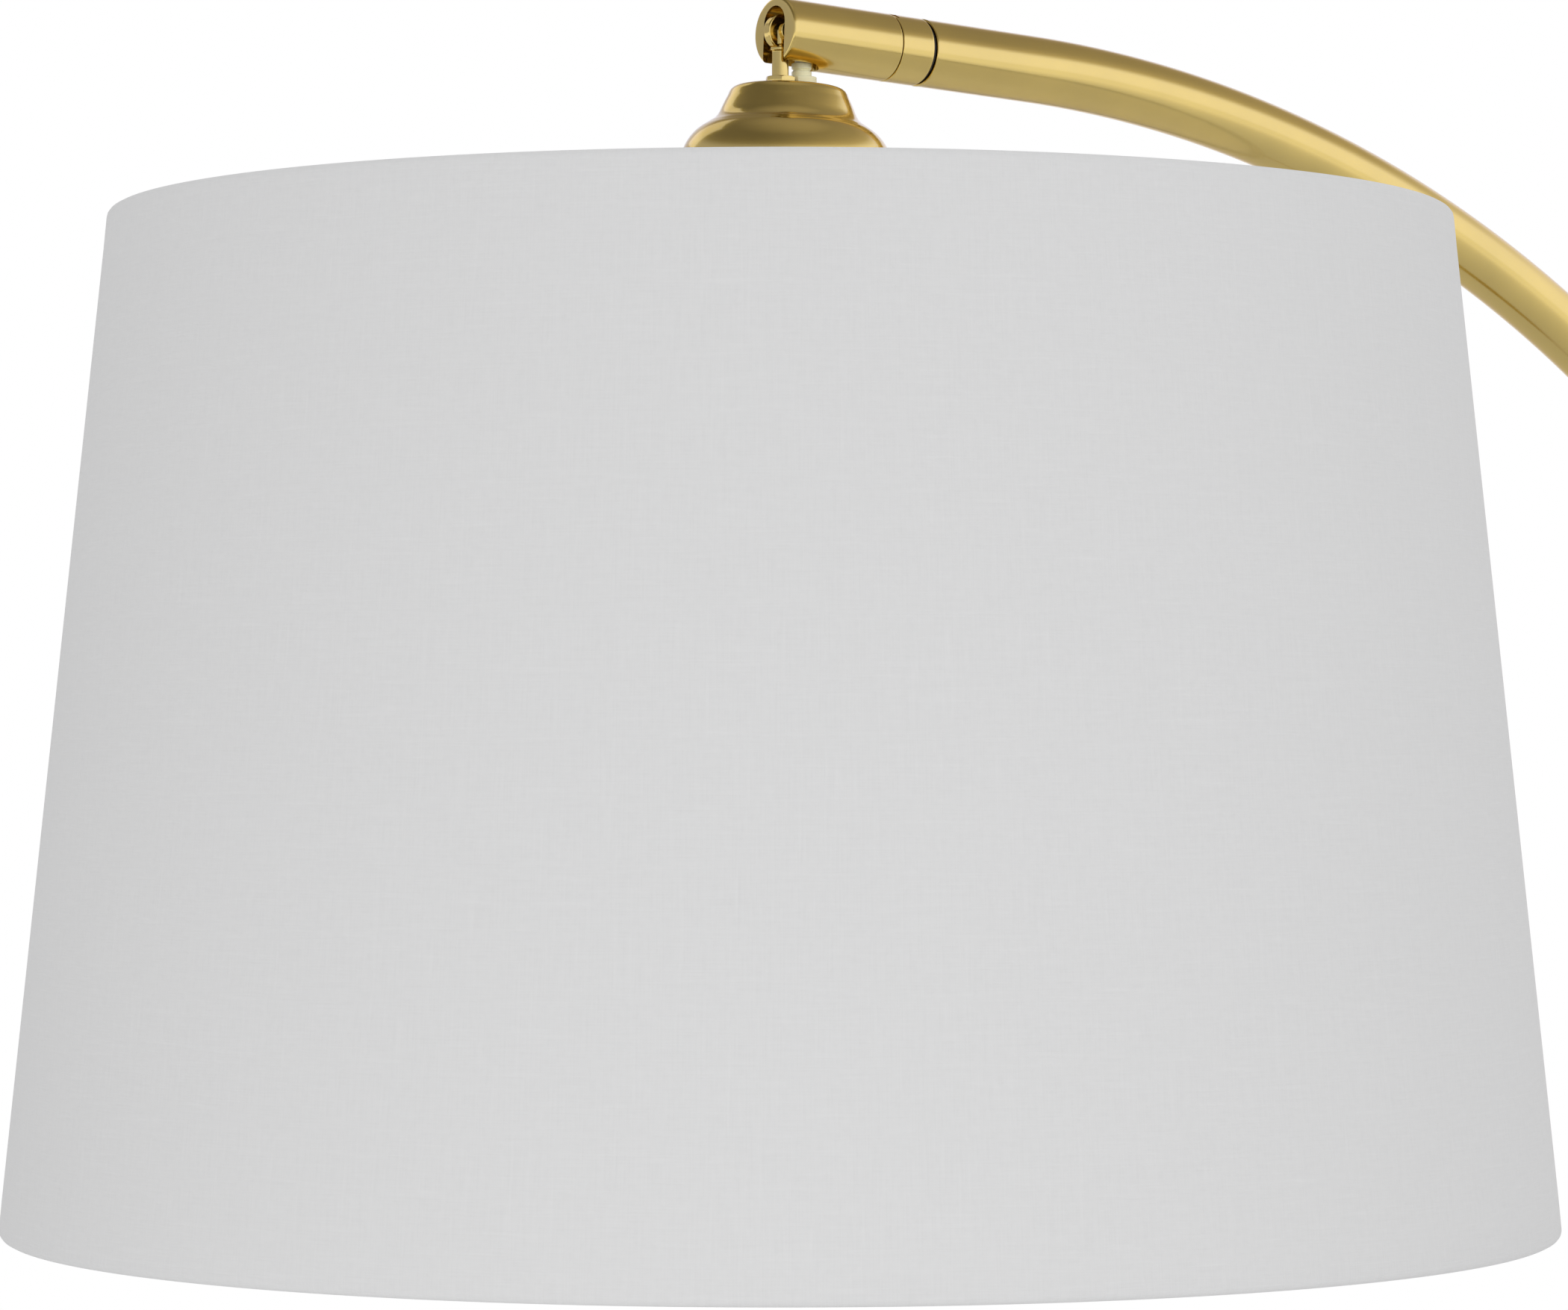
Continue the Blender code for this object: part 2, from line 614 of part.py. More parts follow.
def knuckle(body):
    """Along its own Z the knuckle runs up the arm. Its own X points down, its own Y from the near side."""
    edge = BARREL_CHAMFER
    outline = [
        (0, BARREL_SEAM),
        (TUBE_R - edge / 2, BARREL_SEAM),
        (TUBE_R, BARREL_SEAM - edge / 2),
        (TUBE_R, BARREL_TIP + edge),
        (TUBE_R - edge, BARREL_TIP),
        (0, BARREL_TIP),
    ]
    barrel = place(turned("knuckle_barrel", outline, BRASS, 32), body)
    bore = [
        (0, BARREL_SEAM + 0.002),
        (SPIGOT_R + RUNNING, BARREL_SEAM + 0.002),
        (SPIGOT_R + RUNNING, RING_CHAMBER_END),
        (RING_CHAMBER_R, RING_CHAMBER_END),
        (RING_CHAMBER_R, RING_CHAMBER_START),
        (SLOT_HALF, RING_CHAMBER_START),
        (SLOT_HALF, SLOT_END - 0.004),
        (0, SLOT_END - 0.004),
    ]
    cutter = as_cutter(turned("barrel_bore", bore, None, TUBE_STEPS, CUTTERS))
    boolean(barrel, place(cutter, body), "DIFFERENCE")

    drop = 1.3 * TUBE_R + SLOT_CROWN
    end_centre = SLOT_END - SLOT_HALF
    mouth = [(BARREL_TIP - 0.002, SLOT_HALF), (BARREL_TIP - 0.002, -SLOT_HALF)]
    mouth += [(end_centre + SLOT_HALF * math.sin(a), -SLOT_HALF * math.cos(a))
              for a in (math.pi * i / 10 for i in range(11))]
    slot = as_cutter(plate("slot_mouth", [mouth], drop, None, CUTTERS))
    place(slot, body, (drop / 2 - SLOT_CROWN, 0, 0), (0, math.radians(-90), 0))
    boolean(barrel, slot, "DIFFERENCE")
    crown = cylinder_cutter("slot_crown", SLOT_HALF, BARREL_TIP - 0.002, SLOT_END - 0.002, TUBE_STEPS)
    boolean(barrel, place(crown, body, (-SLOT_CROWN, 0, 0)), "DIFFERENCE")

    hole_r = PIN_R + GAP
    near = -(SLOT_HALF + PIN_BLIND)
    pin_hole = cylinder_cutter("pin_hole", hole_r, near, TUBE_R + 0.002, 16)
    boolean(barrel, place(pin_hole, body, rotation=(math.radians(-90), 0, 0)), "DIFFERENCE")

    pin_near = near + GAP
    pin_far = math.sqrt(TUBE_R**2 - PIN_R**2) - 0.0004
    pin = [(0, pin_far), (PIN_R, pin_far), (PIN_R, pin_near), (0, pin_near)]
    place(turned("pivot_pin", pin, STEEL, 16), body, rotation=(math.radians(-90), 0, 0))

    spacer_low = STEM_R + GAP
    spacer_high = SLOT_HALF - 2 * GAP
    for side, turn in (("far", -90), ("near", 90)):
        outline = ring(SPACER_R, hole_r, spacer_low, spacer_high)
        spacer = turned(f"eye_spacer_{side}", outline, BRASS, 20)
        place(spacer, body, rotation=(math.radians(turn), 0, 0))

    outline = [
        (SPIGOT_R + RUNNING, COLLAR_END),
        (TUBE_R - edge, COLLAR_END),
        (TUBE_R, COLLAR_END - edge),
        (TUBE_R, COLLAR_START + edge / 2),
        (TUBE_R - edge / 2, COLLAR_START),
        (SPIGOT_R + RUNNING, COLLAR_START),
    ]
    collar = place(turned("swivel_collar", outline, BRASS, 32), body)
    middle = BARREL_SEAM + (KEY_LENGTH - 0.0010) / 2
    key = place(key_block("key", 0.0), body, (0, 0, middle), (0, 0, KEY_ANGLE))
    boolean(barrel, key, "UNION")
    keyway = place(key_block("keyway", GAP), body, (0, 0, middle), (0, 0, KEY_ANGLE))
    boolean(collar, keyway, "DIFFERENCE")

    bend_r = 0.0080
    rise = 0.0020
    turn = [(BUSH_FROM_STEM + bend_r * (1 - math.cos(a)), -rise + bend_r * (1 - math.sin(a)))
            for a in (math.pi / 2 * i / 6 for i in range(7))]
    route = [Vector((down, 0, along)) for along, down in turn]
    route.append(Vector((0, 0, SPIGOT_END - 0.0015)))
    lead("lead_in_knuckle", route, body)


# ---------------------------------------------------------------- hanger, cap and bush


def hanger(head):
    """The stem with its flat eye. Heights are from the pivot."""
    low = RIM + CAP_TOP - 0.0112
    bead = -STEM_BEAD_DROP
    outline = [
        (0, 0.0006),
        (STEM_R - 0.0003, 0.0006),
        (STEM_R, 0.0003),
        (STEM_R, bead + 0.0009),
        (STEM_R - 0.0005, bead + 0.0006),
        (STEM_R - 0.0005, bead + 0.0003),
        (STEM_BEAD_R, bead),
        (STEM_BEAD_R, bead - 0.0007),
        (STEM_R, bead - 0.0011),
        (STEM_R, low),
        (0, low),
    ]
    stem = place(turned("hanger", outline, BRASS, 16), head)
    half = EYE_THICKNESS / 2
    edge = 0.0004
    disc = [
        (0, half),
        (EYE_R - edge, half),
        (EYE_R, half - edge),
        (EYE_R, edge - half),
        (EYE_R - edge, -half),
        (0, -half),
    ]
    eye = as_cutter(turned("eye_disc", disc, None, 24, CUTTERS))
    boolean(stem, place(eye, head, rotation=(math.radians(90), 0, 0)), "UNION")
    hole = cylinder_cutter("eye_hole", PIN_R + RUNNING, -0.006, 0.006, 16)
    boolean(stem, place(hole, head, rotation=(math.radians(90), 0, 0)), "DIFFERENCE")


def cap_outside():
    """Outside of the cap from its top centre to its lip, as (radius, height above the shade's edge)."""
    dome = (CAP_R - CAP_DOME_R, CAP_DOME_Z)
    outline = [(0, CAP_TOP), (CAP_SEAT_R, CAP_TOP)]
    outline += arc_points(CAP_SHOULDER, CAP_SHOULDER_R, 76, 24, 3)
    outline += [CAP_WAIST, CAP_FLARE, CAP_GROOVE]
    outline += arc_points(dome, CAP_DOME_R, 60, 0, 5)
    outline.append((CAP_R, CAP_LIP))
    return outline


def cap_and_nuts(head):
    outside = cap_outside()
    inside = offset_path(outside[1:], -CAP_WALL)
    inside[-1] = (CAP_R - CAP_WALL, CAP_LIP)
    inside = [(0, CAP_TOP - CAP_WALL)] + inside
    cap = turned("socket_cap", outside + inside[::-1], BRASS, CAP_STEPS)
    place(cap, head, (CAP_FOOT_OFFSET, 0, RIM), (0, CAP_LEAN, 0))
    low = RIM + CAP_TOP - 0.004
    high = RIM + CAP_TOP + 0.002
    stem_hole = cylinder_cutter("cap_stem_hole", STEM_R + GAP, low, high, 20)
    boolean(cap, place(stem_hole, head), "DIFFERENCE")
    bush_hole = cylinder_cutter("cap_bush_hole", BUSH_R + GAP, low, high, 20)
    boolean(cap, place(bush_hole, head, (BUSH_FROM_STEM, 0, 0)), "DIFFERENCE")

    top = RIM + SEAT_Z
    nut = hex_nut("stem_nut", NUT_FLATS, NUT_HEIGHT, STEM_R + GAP, BRASS)
    place(nut, head, (0, 0, top))
    under = RIM + UNDER_CAP_Z - BRACKET_STRIP
    lock_nut = hex_nut("stem_lock_nut", NUT_FLATS, LOCK_NUT_HEIGHT, STEM_R + GAP, STEEL)
    place(lock_nut, head, (0, 0, under - GAP - LOCK_NUT_HEIGHT))

    groove = BUSH_FLANGE + 0.0022
    bush = [
        (BUSH_BORE_R, BUSH_HEIGHT),
        (BUSH_R - 0.0004, BUSH_HEIGHT),
        (BUSH_R, BUSH_HEIGHT - 0.0004),
        (BUSH_R, groove + BUSH_GROOVE),
        (BUSH_R - BUSH_GROOVE, groove),
        (BUSH_R, groove - BUSH_GROOVE),
        (BUSH_R, BUSH_FLANGE),
        (BUSH_FLANGE_R - 0.0003, BUSH_FLANGE),
        (BUSH_FLANGE_R, BUSH_FLANGE - 0.0003),
        (BUSH_FLANGE_R, 0),
        (BUSH_R, 0),
        (BUSH_R, -BUSH_TAIL),
        (BUSH_BORE_R, -BUSH_TAIL),
    ]
    bush = turned("cable_bush", bush, CREAM, 16)
    place(bush, head, (BUSH_FROM_STEM, 0, top))
    flat_x = BUSH_FROM_STEM - NUT_FLATS / 2 - GAP
    trim = [(-flat_x, -0.008), (-flat_x - 0.008, -0.008), (-flat_x - 0.008, 0.008), (-flat_x, 0.008)]
    flat = as_cutter(plate("bush_flat", [trim], 2 * BUSH_FLANGE, None, CUTTERS))
    boolean(bush, place(flat, head, (BUSH_FROM_STEM, 0, top + BUSH_FLANGE)), "DIFFERENCE")


def lead_in_head(head):
    """From just above the bush down to the socket's wire hole."""
    top = RIM + SEAT_Z + BUSH_HEIGHT + GAP
    straight = RIM + CAP_TOP - 0.0065
    low = RIM + SOCKET_TOP_Z - 0.0040
    points = [Vector((BUSH_FROM_STEM, 0, top))]
    for i in range(9):
        share = i / 8
        ease = share * share * (3 - 2 * share)
        x = BUSH_FROM_STEM + (SOCKET_OFFSET - BUSH_FROM_STEM) * ease
        points.append(Vector((x, 0, straight + (low - straight) * share)))
    lead("lead_in_head", points, head)


def bracket(axis):
    """A bent strip under the cap's top, screwed to the socket, placed from the socket's own axis."""
    top = UNDER_CAP_Z
    foot = SOCKET_TOP_Z + GAP
    inner = BRACKET_HALF - BRACKET_STRIP
    reach = BRACKET_HALF + BRACKET_FOOT
    half = [
        (BRACKET_HALF, top),
        (BRACKET_HALF, foot + BRACKET_STRIP),
        (reach, foot + BRACKET_STRIP),
        (reach, foot),
        (inner, foot),
        (inner, top - BRACKET_STRIP),
    ]
    loop = half + [(-x, z) for x, z in reversed(half)]
    strip = plate("socket_bracket", [loop], BRACKET_WIDTH, STEEL)
    place(strip, axis, rotation=(math.radians(90), 0, 0))
    for x, radius in ((-SOCKET_OFFSET, STEM_R + GAP), (BUSH_FROM_STEM - SOCKET_OFFSET, BUSH_R + GAP)):
        hole = cylinder_cutter("bracket_hole", radius, top - 0.004, top + 0.002, 20)
        boolean(strip, place(hole, axis, (x, 0, 0)), "DIFFERENCE")

    screw_x = BRACKET_HALF + 0.0030
    for number, x in enumerate((-screw_x, screw_x), 1):
        hole = cylinder_cutter("screw_hole", SCREW_R + GAP, foot - 0.002, foot + 0.003, 12)
        boolean(strip, place(hole, axis, (x, 0, 0)), "DIFFERENCE")
        seat = foot + BRACKET_STRIP + GAP
        screw = [
            (0, seat + SCREW_HEAD),
            (0.6 * SCREW_HEAD_R, seat + SCREW_HEAD),
            (SCREW_HEAD_R, seat + 0.4 * SCREW_HEAD),
            (SCREW_HEAD_R, seat),
            (SCREW_R, seat),
            (SCREW_R, seat - SCREW_DEPTH),
            (0, seat - SCREW_DEPTH),
        ]
        place(turned(f"bracket_screw_{number}", screw, STEEL, 16), axis, (x, 0, 0))
    return screw_x


# ---------------------------------------------------------------- socket, switch and bulb


def socket(axis, screw_x):
    inner_r = SOCKET_R - SOCKET_WALL
    outline = [
        (WIRE_HOLE_R, SOCKET_TOP_Z),
        (SOCKET_NECK_R, SOCKET_TOP_Z),
        (SOCKET_NECK_R, SOCKET_THREAD_TOP),
        (SOCKET_THREAD_R, SOCKET_THREAD_TOP),
        (SOCKET_THREAD_R, SOCKET_THREAD_LOW),
        (SOCKET_R, SOCKET_THREAD_LOW),
        (SOCKET_R, SOCKET_LOW_Z),
        (inner_r, SOCKET_LOW_Z),
        (inner_r, SOCKET_FLOOR_Z),
        (WIRE_HOLE_R, SOCKET_FLOOR_Z),
        (WIRE_HOLE_R, CHAMBER_LOW_Z),
        (SOCKET_CHAMBER_R, CHAMBER_LOW_Z),
        (SOCKET_CHAMBER_R, CHAMBER_TOP_Z),
        (WIRE_HOLE_R, CHAMBER_TOP_Z),
    ]
    body = place(turned("socket_body", outline, PHENOLIC, 24), axis)
    for x in (-screw_x, screw_x):
        depth = SOCKET_TOP_Z - SCREW_DEPTH
        hole = cylinder_cutter("socket_screw_hole", SCREW_R + GAP, depth, SOCKET_TOP_Z + 0.002, 12)
        boolean(body, place(hole, axis, (x, 0, 0)), "DIFFERENCE")
    shaft_hole = cylinder_cutter("shaft_hole", SHAFT_R + RUNNING, 0.008, 0.022, 16)
    place(shaft_hole, axis, (0, 0, SHAFT_Z), (math.radians(90), 0, 0))
    boolean(body, shaft_hole, "DIFFERENCE")

    top = SOCKET_FLOOR_Z - GAP
    shell = [
        (SHELL_HOLE_R, top),
        (SHELL_R, top),
        (SHELL_R, SOCKET_LOW_Z + 0.0010),
        (SHELL_R - SHELL_WALL, SOCKET_LOW_Z + 0.0010),
        (SHELL_R - SHELL_WALL, top - SHELL_WALL),
        (SHELL_HOLE_R, top - SHELL_WALL),
    ]
    place(turned("screw_shell", shell, CONTACT, 20), axis)
    contact = [
        (0, top),
        (CONTACT_R, top),
        (CONTACT_R, top - 0.4 * CONTACT_DROP),
        (0.5 * CONTACT_R, top - CONTACT_DROP),
        (0, top - CONTACT_DROP),
    ]
    place(turned("centre_contact", contact, CONTACT, 16), axis)

    high = -FITTER_THICKNESS - GAP
    bore_r = SOCKET_THREAD_R + GAP
    nut = [
        (bore_r, high),
        (RING_NUT_R, high),
        (RING_NUT_R, high - 0.0022),
        (RING_NUT_BODY_R, high - 0.0032),
        (RING_NUT_BODY_R, high - RING_NUT_HEIGHT),
        (bore_r, high - RING_NUT_HEIGHT),
    ]
    place(turned("shade_ring_nut", nut, PHENOLIC, 24), axis)


def switch(key):
    """Along its own Z the switch points out of the socket, on the near side."""
    shaft = [
        (0, SHAFT_OUTER),
        (SHAFT_R, SHAFT_OUTER),
        (SHAFT_R, SHAFT_INNER + CAM_LENGTH),
        (CAM_R, SHAFT_INNER + CAM_LENGTH),
        (CAM_R, SHAFT_INNER),
        (0, SHAFT_INNER),
    ]
    place(turned("switch_shaft", shaft, STEEL, 16), key)
    knob_end = KNOB_START + KNOB_LENGTH
    knob = [
        (0, knob_end),
        (0.7 * KNOB_R, knob_end),
        (KNOB_R, knob_end - 0.0018),
        (KNOB_R, KNOB_START + 0.0030),
        (0.75 * KNOB_R, KNOB_START),
        (SHAFT_R + GAP, KNOB_START),
        (SHAFT_R + GAP, KNOB_START + KNOB_BORE),
        (0, KNOB_START + KNOB_BORE),
    ]
    place(turned("switch_knob", knob, PHENOLIC, 20), key)


def bulb(axis):
    tip = SOCKET_FLOOR_Z - GAP - CONTACT_DROP - GAP
    low = SOCKET_LOW_Z
    outline = [
        (0, tip),
        (BULB_TIP_R, tip),
        (BULB_TIP_R + 0.001, tip - 0.002),
        (BULB_BASE_R - 0.0012, tip - 0.0045),
        (BULB_BASE_R, tip - 0.0060),
        (BULB_BASE_R, low),
        (0, low),
    ]
    place(turned("bulb_base", outline, CONTACT, 20), axis)
    neck = low - GAP
    centre = (0, neck - BULB_LENGTH + BULB_R)
    path = [
        (BULB_NECK_R, neck),
        (BULB_NECK_R + 0.0004, neck - 0.10 * BULB_LENGTH),
        (BULB_NECK_R + 0.0060, neck - 0.29 * BULB_LENGTH),
        (BULB_R - 0.0035, neck - 0.46 * BULB_LENGTH),
    ]
    path += arc_points(centre, BULB_R, 0, -90, 5)[:-1]
    inside = offset_path(path + [(0, neck - BULB_LENGTH)], -BULB_WALL)[:-1]
    inside = [(r, z) for r, z in inside] + [(0, neck - BULB_LENGTH + BULB_WALL)]
    inside[0] = (BULB_NECK_R - BULB_WALL, neck)
    outline = inside[::-1] + path + [(0, neck - BULB_LENGTH)]
    place(turned("bulb_globe", outline, OPAL, 24), axis)


# ---------------------------------------------------------------- shade


def shade_outside(height):
    """The cone's outer radius at a height below the top edge."""
    return SHADE_TOP_R + (SHADE_BOTTOM_R - SHADE_TOP_R) * height / SHADE_HEIGHT


def roll(rim_r, rim_z, up):
    """Middle of the fabric where it rolls over a wire, from the outer side round to the inside."""
    mid_r = WIRE_R + GAP + FABRIC / 2
    centre = (rim_r - FABRIC / 2 - mid_r, rim_z - up * (FABRIC / 2 + mid_r))
    return arc_points(centre, mid_r, 0, up * 200, 4)


def shade(head):
    depth = FABRIC + WIRE_R + GAP
    top_wire = (SHADE_TOP_R - depth, -depth)
    bottom_wire = (SHADE_BOTTOM_R - depth, depth - SHADE_HEIGHT)
    turn_in = FABRIC + 2 * GAP + LINER + FABRIC / 2
    top_end = (shade_outside(TURN_IN) - turn_in, -TURN_IN)
    bottom_end = (shade_outside(SHADE_HEIGHT - TURN_IN) - turn_in, TURN_IN - SHADE_HEIGHT)
    path = [top_end] + roll(SHADE_TOP_R, 0, 1)[::-1]
    path.append((shade_outside(TURN_IN) - HEM_EASE - FABRIC / 2, -TURN_IN))
    path.append((shade_outside(SHADE_HEIGHT - TURN_IN) + HEM_EASE - FABRIC / 2, TURN_IN - SHADE_HEIGHT))
    path += roll(SHADE_BOTTOM_R, -SHADE_HEIGHT, -1) + [bottom_end]
    rim = (0, 0, RIM)
    skin = place(turned("shade_fabric", ribbon(path, FABRIC), LINEN, SHADE_STEPS), head, rim)

    liner_out = FABRIC + GAP
    liner_top = 2 * depth + 0.0012
    liner = []
    for height in (liner_top, SHADE_HEIGHT - liner_top):
        outer = shade_outside(height) - liner_out - HEM_EASE
        liner.append(((outer, -height), (outer - LINER, -height)))
    outline = [liner[0][1], liner[0][0], liner[1][0], liner[1][1]]
    place(turned("shade_liner", outline, STYRENE, SHADE_STEPS), head, rim)

    for name, centre in (("top_ring", top_wire), ("bottom_ring", bottom_wire)):
        loop = arc_points(centre, WIRE_R, 0, 300, 6)
        place(turned(name, loop, STEEL, SHADE_STEPS), head, rim)
    return skin, top_wire


def spider(head, axis, skin, top_wire):
    """A ring on the socket's axis, with arms to the top wire that leave the fabric's roll by notches."""
    outline = ring(FITTER_R, SOCKET_THREAD_R + 2 * GAP, -FITTER_THICKNESS, 0)
    fitter = place(turned("spider", outline, STEEL, CAP_STEPS), axis)
    arm_start = RING_NUT_R + SOCKET_OFFSET + 2 * GAP
    arm_end = top_wire[0] - WIRE_R - GAP
    for i in range(SPIDER_ARMS):
        turn = SPIDER_TURN + 2 * math.pi * i / SPIDER_ARMS
        rotation = (0, math.radians(90), turn)
        height = (0, 0, RIM + top_wire[1])
        wire = cylinder_cutter("spider_arm", ARM_WIRE_R, arm_start, arm_end, 10)
        boolean(fitter, place(wire, head, height, rotation), "UNION")
        notch = cylinder_cutter("spider_notch", ARM_WIRE_R + NOTCH, arm_end - 0.010, arm_end + 0.001, 12)
        boolean(skin, place(notch, head, height, rotation), "DIFFERENCE")


# ---------------------------------------------------------------- the lamp


def build():
    stand = empty("stand", (0, 0, 0))
    down_the_arm = (0, math.pi / 2 + ARM_SLOPE, 0)
    arm_end = empty("arm_end", PIVOT, down_the_arm, stand)
    swivel = empty("swivel", PIVOT, down_the_arm, stand)
    head = empty("head", PIVOT, (0, 0, 0), stand)
    socket_axis = empty("socket_axis", (SOCKET_OFFSET, 0, RIM), (0, 0, 0), head)
    switch_axis = empty("switch_axis", (0, 0, SHAFT_Z), (math.radians(90), 0, 0), socket_axis)

    base(stand)
    pole(stand)
    arm(stand, arm_end)
    knuckle(swivel)
    hanger(head)
    cap_and_nuts(head)
    lead_in_head(head)
    screw_x = bracket(socket_axis)
    socket(socket_axis, screw_x)
    switch(switch_axis)
    bulb(socket_axis)
    skin, top_wire = shade(head)
    spider(head, socket_axis, skin, top_wire)


build()
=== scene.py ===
"""Looks for the arc floor lamp. Metres, +Z up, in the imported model's frame."""

import json
import math

import bmesh
import bpy
from mathutils import Matrix, Vector

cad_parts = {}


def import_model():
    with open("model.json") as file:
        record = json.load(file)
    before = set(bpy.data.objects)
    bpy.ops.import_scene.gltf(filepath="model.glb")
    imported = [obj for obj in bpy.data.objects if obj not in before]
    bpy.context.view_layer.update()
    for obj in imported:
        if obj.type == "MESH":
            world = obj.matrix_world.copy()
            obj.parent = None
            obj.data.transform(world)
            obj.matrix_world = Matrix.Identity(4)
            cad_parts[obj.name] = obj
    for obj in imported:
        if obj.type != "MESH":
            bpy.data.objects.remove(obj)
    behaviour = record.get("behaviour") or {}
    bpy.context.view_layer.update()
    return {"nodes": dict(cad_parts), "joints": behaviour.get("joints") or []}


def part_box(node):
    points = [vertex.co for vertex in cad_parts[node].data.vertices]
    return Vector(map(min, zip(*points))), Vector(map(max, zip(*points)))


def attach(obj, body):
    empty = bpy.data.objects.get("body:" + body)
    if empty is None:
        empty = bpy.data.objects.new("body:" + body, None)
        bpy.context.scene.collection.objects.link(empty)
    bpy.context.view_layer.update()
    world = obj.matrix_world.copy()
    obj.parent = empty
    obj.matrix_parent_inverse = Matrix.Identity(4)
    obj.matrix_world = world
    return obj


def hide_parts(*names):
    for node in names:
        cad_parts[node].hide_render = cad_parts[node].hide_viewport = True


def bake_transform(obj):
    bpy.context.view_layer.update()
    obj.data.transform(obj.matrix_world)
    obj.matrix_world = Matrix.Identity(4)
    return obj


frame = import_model()


def raised(z):
    return Matrix.Translation((0, 0, z))


def rotated(degrees, axis):
    return Matrix.Rotation(math.radians(degrees), 4, axis)


JOINTS = {joint["name"]: joint for joint in frame["joints"]}

# ---- places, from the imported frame

PIVOT = Vector(JOINTS["shade_swing"]["pos_m"])
ARM = Vector(JOINTS["head_swivel"]["axis"]).normalized()  # from the pivot towards the pole
ARM_SLOPE = math.asin(-ARM.z)
RIM_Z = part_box("shade_fabric")[1].z
SEAT_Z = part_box("stem_nut")[0].z - RIM_Z  # the cap's flat top, above the rim
UPRIGHT = Matrix.Identity(4)
ALONG_ARM = Matrix.Translation(PIVOT) @ Matrix.Rotation(math.pi / 2 + ARM_SLOPE, 4, "Y")
ACROSS_ARM = ALONG_ARM @ rotated(-90, "X")
ON_RIM = Matrix.Translation((PIVOT.x, 0, RIM_Z))

# ---- sizes, in metres

GAP = 0.0003  # left between pieces that touch

# Arm and pole
TUBE_R = 0.0100
TUBE_BORE_R = TUBE_R - 0.0012
ARM_STRAIGHT = 0.0925
ARC_R = 0.457
ARM_CURVED = ARC_R * (math.pi / 2 - ARM_SLOPE)
ARM_FOOT = 0.060
ARM_MOUTH = 0.0600  # the first, straight stretch of the arm's bore
JOINT_RING = 0.0040
JOINT_PLUG_R = TUBE_BORE_R - 0.0004
STUD_R = 0.0060
STUD_LENGTH = 0.0137
LEAD_R = 0.0020
LEAD_WAY_R = 0.0035

# Base
BASE_R = 0.140
BASE_HEIGHT = 0.022
BASE_CORNER_R = 0.008
BASE_HOLE_R = 0.0056
COVER_WALL = 0.0012
COVER_LIFT = 0.0010
PAD_INSET = 0.0060
PAD_THICKNESS = 0.0030
INLET_Z = 0.0080
INLET_R = 0.0042
INLET_BORE_R = 0.0030
FLANGE_R = 0.0240
FLANGE_NECK_R = 0.0123

# Knuckle, measured from the pivot along the arm
BARREL_TIP = -0.0022
BARREL_SEAM = 0.0375
COLLAR_START = BARREL_SEAM + GAP
COLLAR_END = COLLAR_START + 0.0115
WASHER_START = COLLAR_END + GAP
WASHER_END = WASHER_START + 0.0005
WASHER_R = 0.0093
ARM_END = WASHER_END + GAP
SLOT_HALF = 0.0051
SLOT_CROWN = 0.0024
SLOT_END = 0.0130
SLOT_REACH = 0.0160  # where the slot's bore meets the ring's chamber
CHAMBER_R = 0.0073
CHAMBER_END = 0.0270
SPIGOT_BORE_R = 0.0063
KEY_ANGLE = 206  # degrees
KEY_LOW, KEY_HIGH = 0.0072, 0.0098
KEY_HALF = 0.0010
PIN_R = 0.0015
PIN_HOLE_R = PIN_R + GAP
PIN_BLIND = 0.0030
SPACER_R = 0.0027

# Hanger, nuts and bush
EYE_R = 0.0051
EYE_THICKNESS = 0.0028
STEM_R = 0.00245
STEM_HOLE_R = STEM_R + GAP
STEM_GROOVE_R = STEM_R - 0.0005
STEM_END = 0.0275  # above the rim
BEAD_R = 0.0029
BEAD_Z = -0.0046  # from the pivot
NUT_HALF_FLATS = 0.0040
BUSH_X = 0.0077
BUSH_HEIGHT = 0.0062
BUSH_R = 0.00295
BUSH_WAIST_R = 0.00255
BUSH_FLANGE_R = 0.00445
BUSH_FLANGE = 0.0022  # its thickness
BUSH_BORE_R = 0.0023
LEAD_X = PIVOT.x + BUSH_X
BUSH_TOP = RIM_Z + SEAT_Z + BUSH_HEIGHT

# Shade
SHADE_TOP_R = 0.1945
SHADE_BOTTOM_R = 0.2250
SHADE_HEIGHT = 0.2938
FABRIC = 0.0005
LINER = 0.0004
WIRE_R = 0.0015
WIRE_DEPTH = FABRIC + WIRE_R + GAP  # from the shade's edge to a wire's middle
TURN_IN = 0.0110
EASE = 0.0003  # how far the fabric leans in at the top and out at the bottom
SPIDER_WIRE_R = 0.0018
SPIDER_TURN = 30  # degrees
SPIDER_ARMS = 3
SPIDER_END = SHADE_TOP_R - WIRE_DEPTH - WIRE_R - GAP
FITTER_R = 0.0330
FITTER_THICKNESS = 0.0016

# Cap, heights above the rim
CAP_LEAN = 2.4  # degrees
CAP_FOOT = 0.0015
CAP_LIP = 0.0018
CAP_TOP = 0.0387
CAP_R = 0.0310
CAP_WALL = 0.0010

# Socket, switch and bulb, heights from the rim
SOCKET_X = 0.0023
ON_SOCKET = Matrix.Translation((SOCKET_X, 0, 0)) @ ON_RIM
SOCKET_R = 0.0182
SOCKET_FOOT = -0.0660
SOCKET_FLOOR = -0.0370
SOCKET_HUB_R = 0.0030
THREAD_R = 0.0193
THREAD_TOP = 0.0080
THREAD_PITCH = 0.0020
THREAD_TURNS = 11
RING_NUT_R = 0.0270
SWITCH_AXIS = ON_SOCKET @ raised(-0.0255) @ rotated(90, "X")
KNOB_R = 0.0060
KNOB_TOP = 0.0340
KNOB_LOW = 0.0200
KNOB_BORE_R = 0.0022
BULB_CAP_R = 0.0132
BULB_R = 0.0300
BULB_LENGTH = 0.0800
GLASS = 0.0012


# ---- mesh helpers


